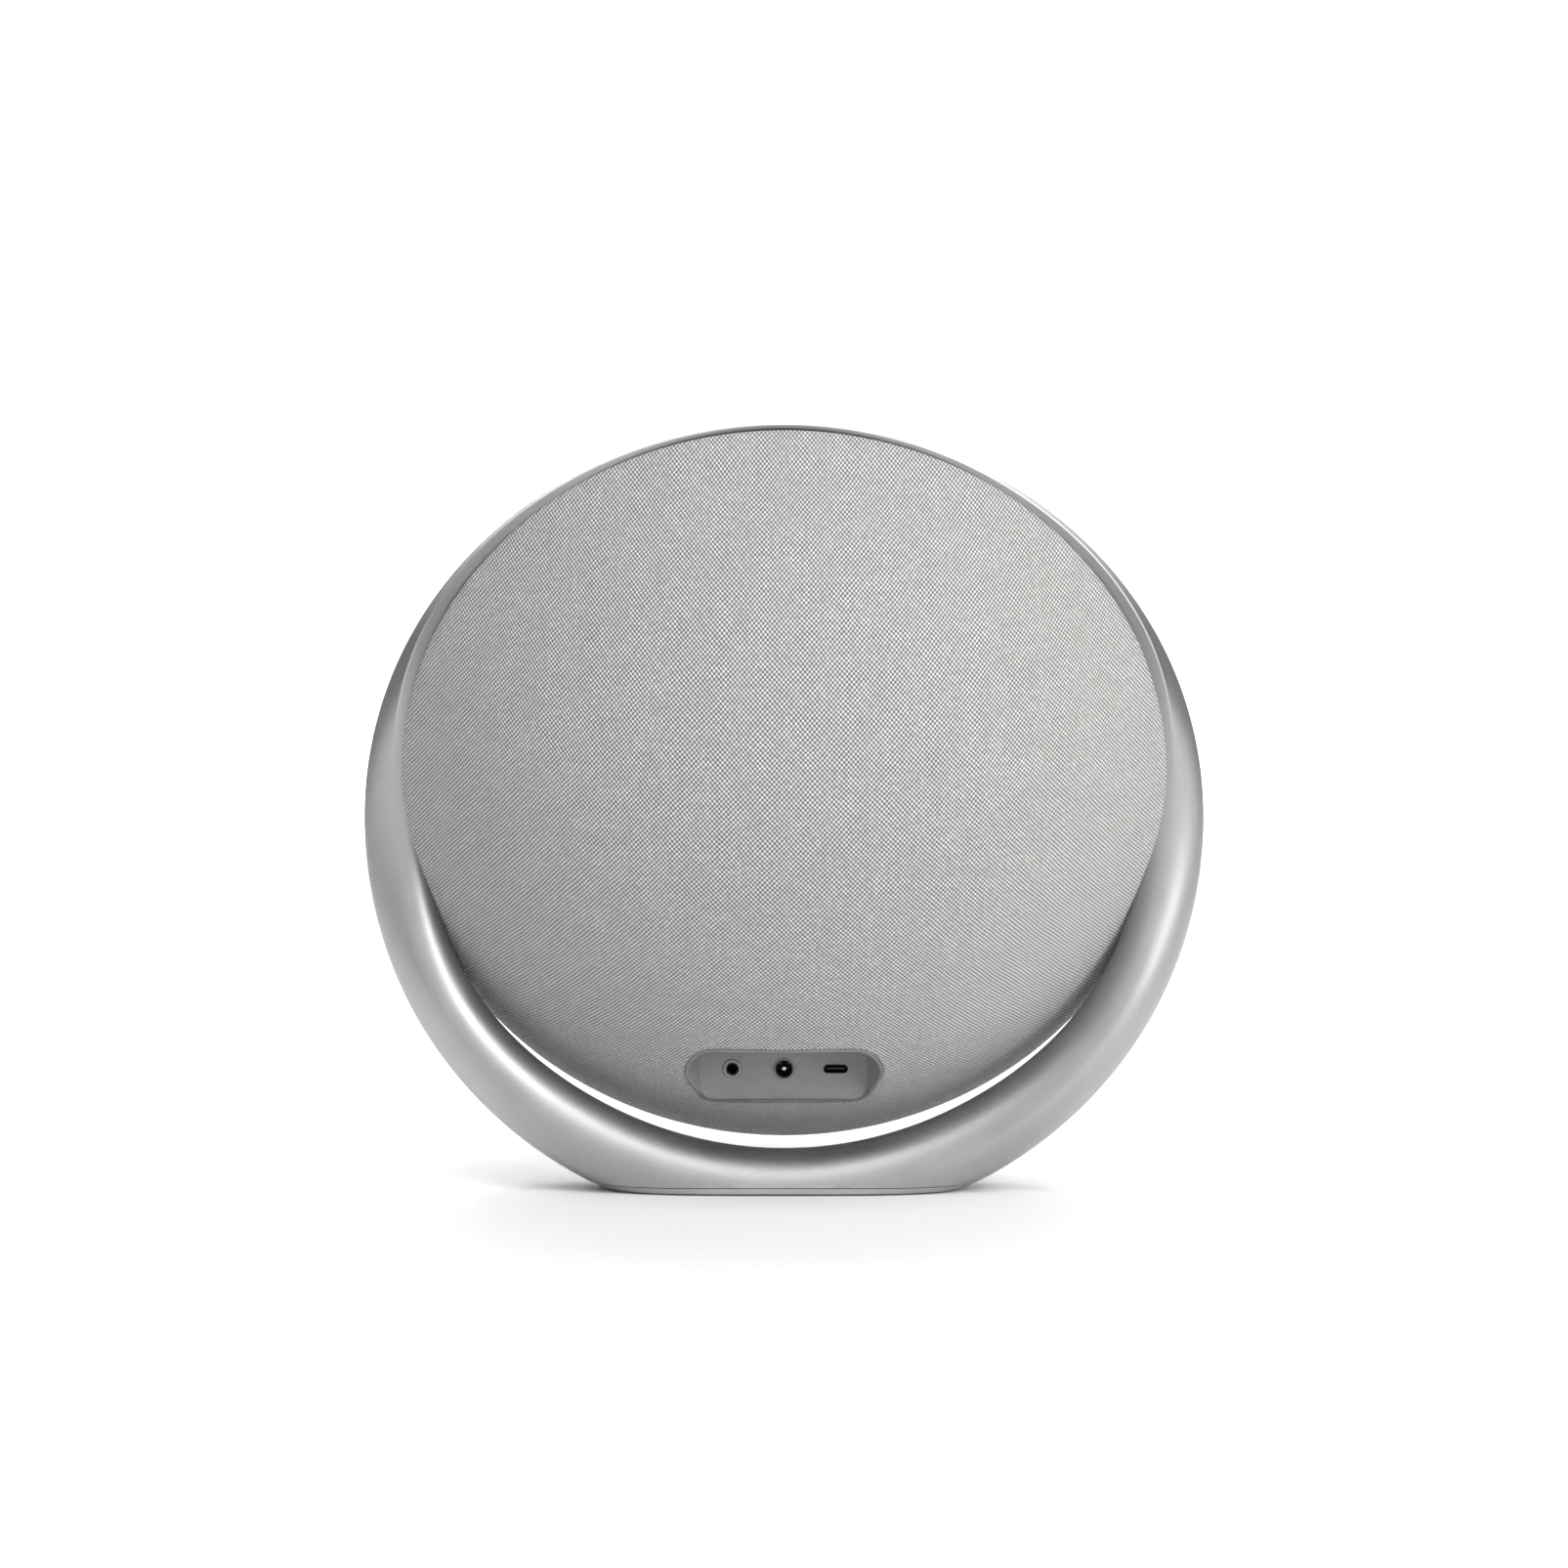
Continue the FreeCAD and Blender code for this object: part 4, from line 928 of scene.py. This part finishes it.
INNER = {
    "shell_plastic": ((0.03, 0.03, 0.032), (0.07, 0.07, 0.072), 0.0, 0.45, 0.65, 1500, 0.00005),
    "steel": ((0.42, 0.42, 0.43), (0.6, 0.6, 0.6), 1.0, 0.25, 0.42, 1200, 0.00003),
    "magnet": ((0.05, 0.05, 0.052), (0.1, 0.1, 0.1), 0.2, 0.6, 0.85, 900, 0.00008),
    "board": ((0.015, 0.06, 0.035), (0.03, 0.11, 0.06), 0.0, 0.3, 0.5, 700, 0.00003),
    "chip": ((0.02, 0.02, 0.02), (0.05, 0.05, 0.05), 0.0, 0.45, 0.65, 1600, 0.00002),
    "can": ((0.5, 0.5, 0.5), (0.68, 0.68, 0.68), 1.0, 0.25, 0.45, 900, 0.00003),
    "cell_wrap": ((0.05, 0.12, 0.3), (0.1, 0.2, 0.42), 0.0, 0.2, 0.35, 500, 0.00003),
    "strap": ((0.03, 0.03, 0.03), (0.07, 0.07, 0.07), 0.0, 0.75, 0.95, 1400, 0.0001),
    "cone_paper": ((0.03, 0.03, 0.03), (0.08, 0.08, 0.078), 0.0, 0.7, 0.9, 700, 0.0001),
    "roll_rubber": ((0.014, 0.014, 0.014), (0.04, 0.04, 0.04), 0.0, 0.55, 0.75, 900, 0.00004),
    "spider_cloth": ((0.38, 0.26, 0.10), (0.6, 0.45, 0.2), 0.0, 0.75, 0.95, 1300, 0.0001),
    "dome_silk": ((0.04, 0.04, 0.042), (0.1, 0.1, 0.1), 0.0, 0.5, 0.7, 1700, 0.00004),
    "coil": ((0.42, 0.2, 0.08), (0.62, 0.34, 0.15), 1.0, 0.25, 0.4, 1500, 0.00004),
    "gasket_rubber": ((0.012, 0.012, 0.012), (0.04, 0.04, 0.04), 0.0, 0.7, 0.9, 1200, 0.00005),
    "socket_plastic": ((0.016, 0.016, 0.017), (0.05, 0.05, 0.05), 0.0, 0.32, 0.5, 1500, 0.00003),
}
slot_of = {part["node"]: part["material_slot"] for part in frame["record"]["subparts"]}
inner_made = {key: inner_finish("inner " + key, *values) for key, values in INNER.items()}
for node, item in frame["nodes"].items():
    if slot_of[node] in inner_made and not item.hide_render:
        item.data.materials.clear()
        item.data.materials.append(inner_made[slot_of[node]])

# ---------------------------------------------------------------- Studio
# Pale paper floor that sweeps up behind, soft lights and the camera behind
# the speaker, level with the top of the ring.

paper = Finish("studio paper")
tooth = paper.noise(300, 4, 0.6)
paper_material = paper.set(
    Base_Color=paper.ramp(tooth, (0.3, (0.84, 0.84, 0.84)), (0.7, (0.86, 0.86, 0.86))),
    Roughness=paper.grey(tooth, 0.85, 0.95))
sweep = bmesh.new()
rows = []
for step in range(25):
    turn = math.pi / 2 * step / 24
    rows.append((-1.6 - 1.0 * math.sin(turn), 1.0 - math.cos(turn)))
rows = [(4.0, 0.0)] + rows + [(-2.6, 4.0)]
rows = [[sweep.verts.new((x, y, z - 0.0001)) for x in (-1.0, 1.0)] for y, z in rows]
for one, two in zip(rows, rows[1:]):
    sweep.faces.new((one[0], one[1], two[1], two[0])).smooth = True
mesh = bpy.data.meshes.new("studio floor")
sweep.to_mesh(mesh)
sweep.free()
floor = bpy.data.objects.new("studio_floor", mesh)
mesh.materials.append(paper_material)
bpy.context.scene.collection.objects.link(floor)
floor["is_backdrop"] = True

world = bpy.data.worlds.new("studio air")
bpy.context.scene.world = world
world.use_nodes = True
world.node_tree.nodes["Background"].inputs["Color"].default_value = (1, 1, 1, 1)
world.node_tree.nodes["Background"].inputs["Strength"].default_value = 0.3


def soft_light(name, place, aim, size, power, spread=180):
    data = bpy.data.lights.new(name, "AREA")
    data.shape = "RECTANGLE"
    data.size, data.size_y = size
    data.energy = power
    data.spread = math.radians(spread)
    lamp = bpy.data.objects.new(name, data)
    lamp.location = place
    lamp.rotation_euler = (Vector(aim) - Vector(place)).to_track_quat("-Z", "Y").to_euler()
    bpy.context.scene.collection.objects.link(lamp)


soft_light("key light", (-1.3, 1.4, 0.8), (0, 0, 0.14), (0.5, 1.5), 29)
soft_light("sky light", (0, 1.2, 2.0), (0, 0, 0.14), (2.2, 1.6), 34)
soft_light("room light", (0.2, 2.6, 1.1), (0, 0, 0.14), (1.8, 1.8), 7)
soft_light("paper light", (0, -0.9, 2.4), (0, -2.5, 0.5), (1.6, 0.8), 80, 110)
soft_light("floor light", (0, -0.6, 1.3), (0, -0.75, 0), (1.4, 0.5), 9, 120)

lens_data = bpy.data.cameras.new("camera")
lens_data.sensor_width = 36
lens_data.lens = 116.95
camera = bpy.data.objects.new("camera", lens_data)
camera.location = (0.0, 1.81, 0.27)
camera.rotation_euler = (math.radians(90 - 3.96), 0, math.pi)
bpy.context.scene.collection.objects.link(camera)
bpy.context.scene.camera = camera
bpy.context.scene.view_settings.view_transform = "Standard"

low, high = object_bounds()
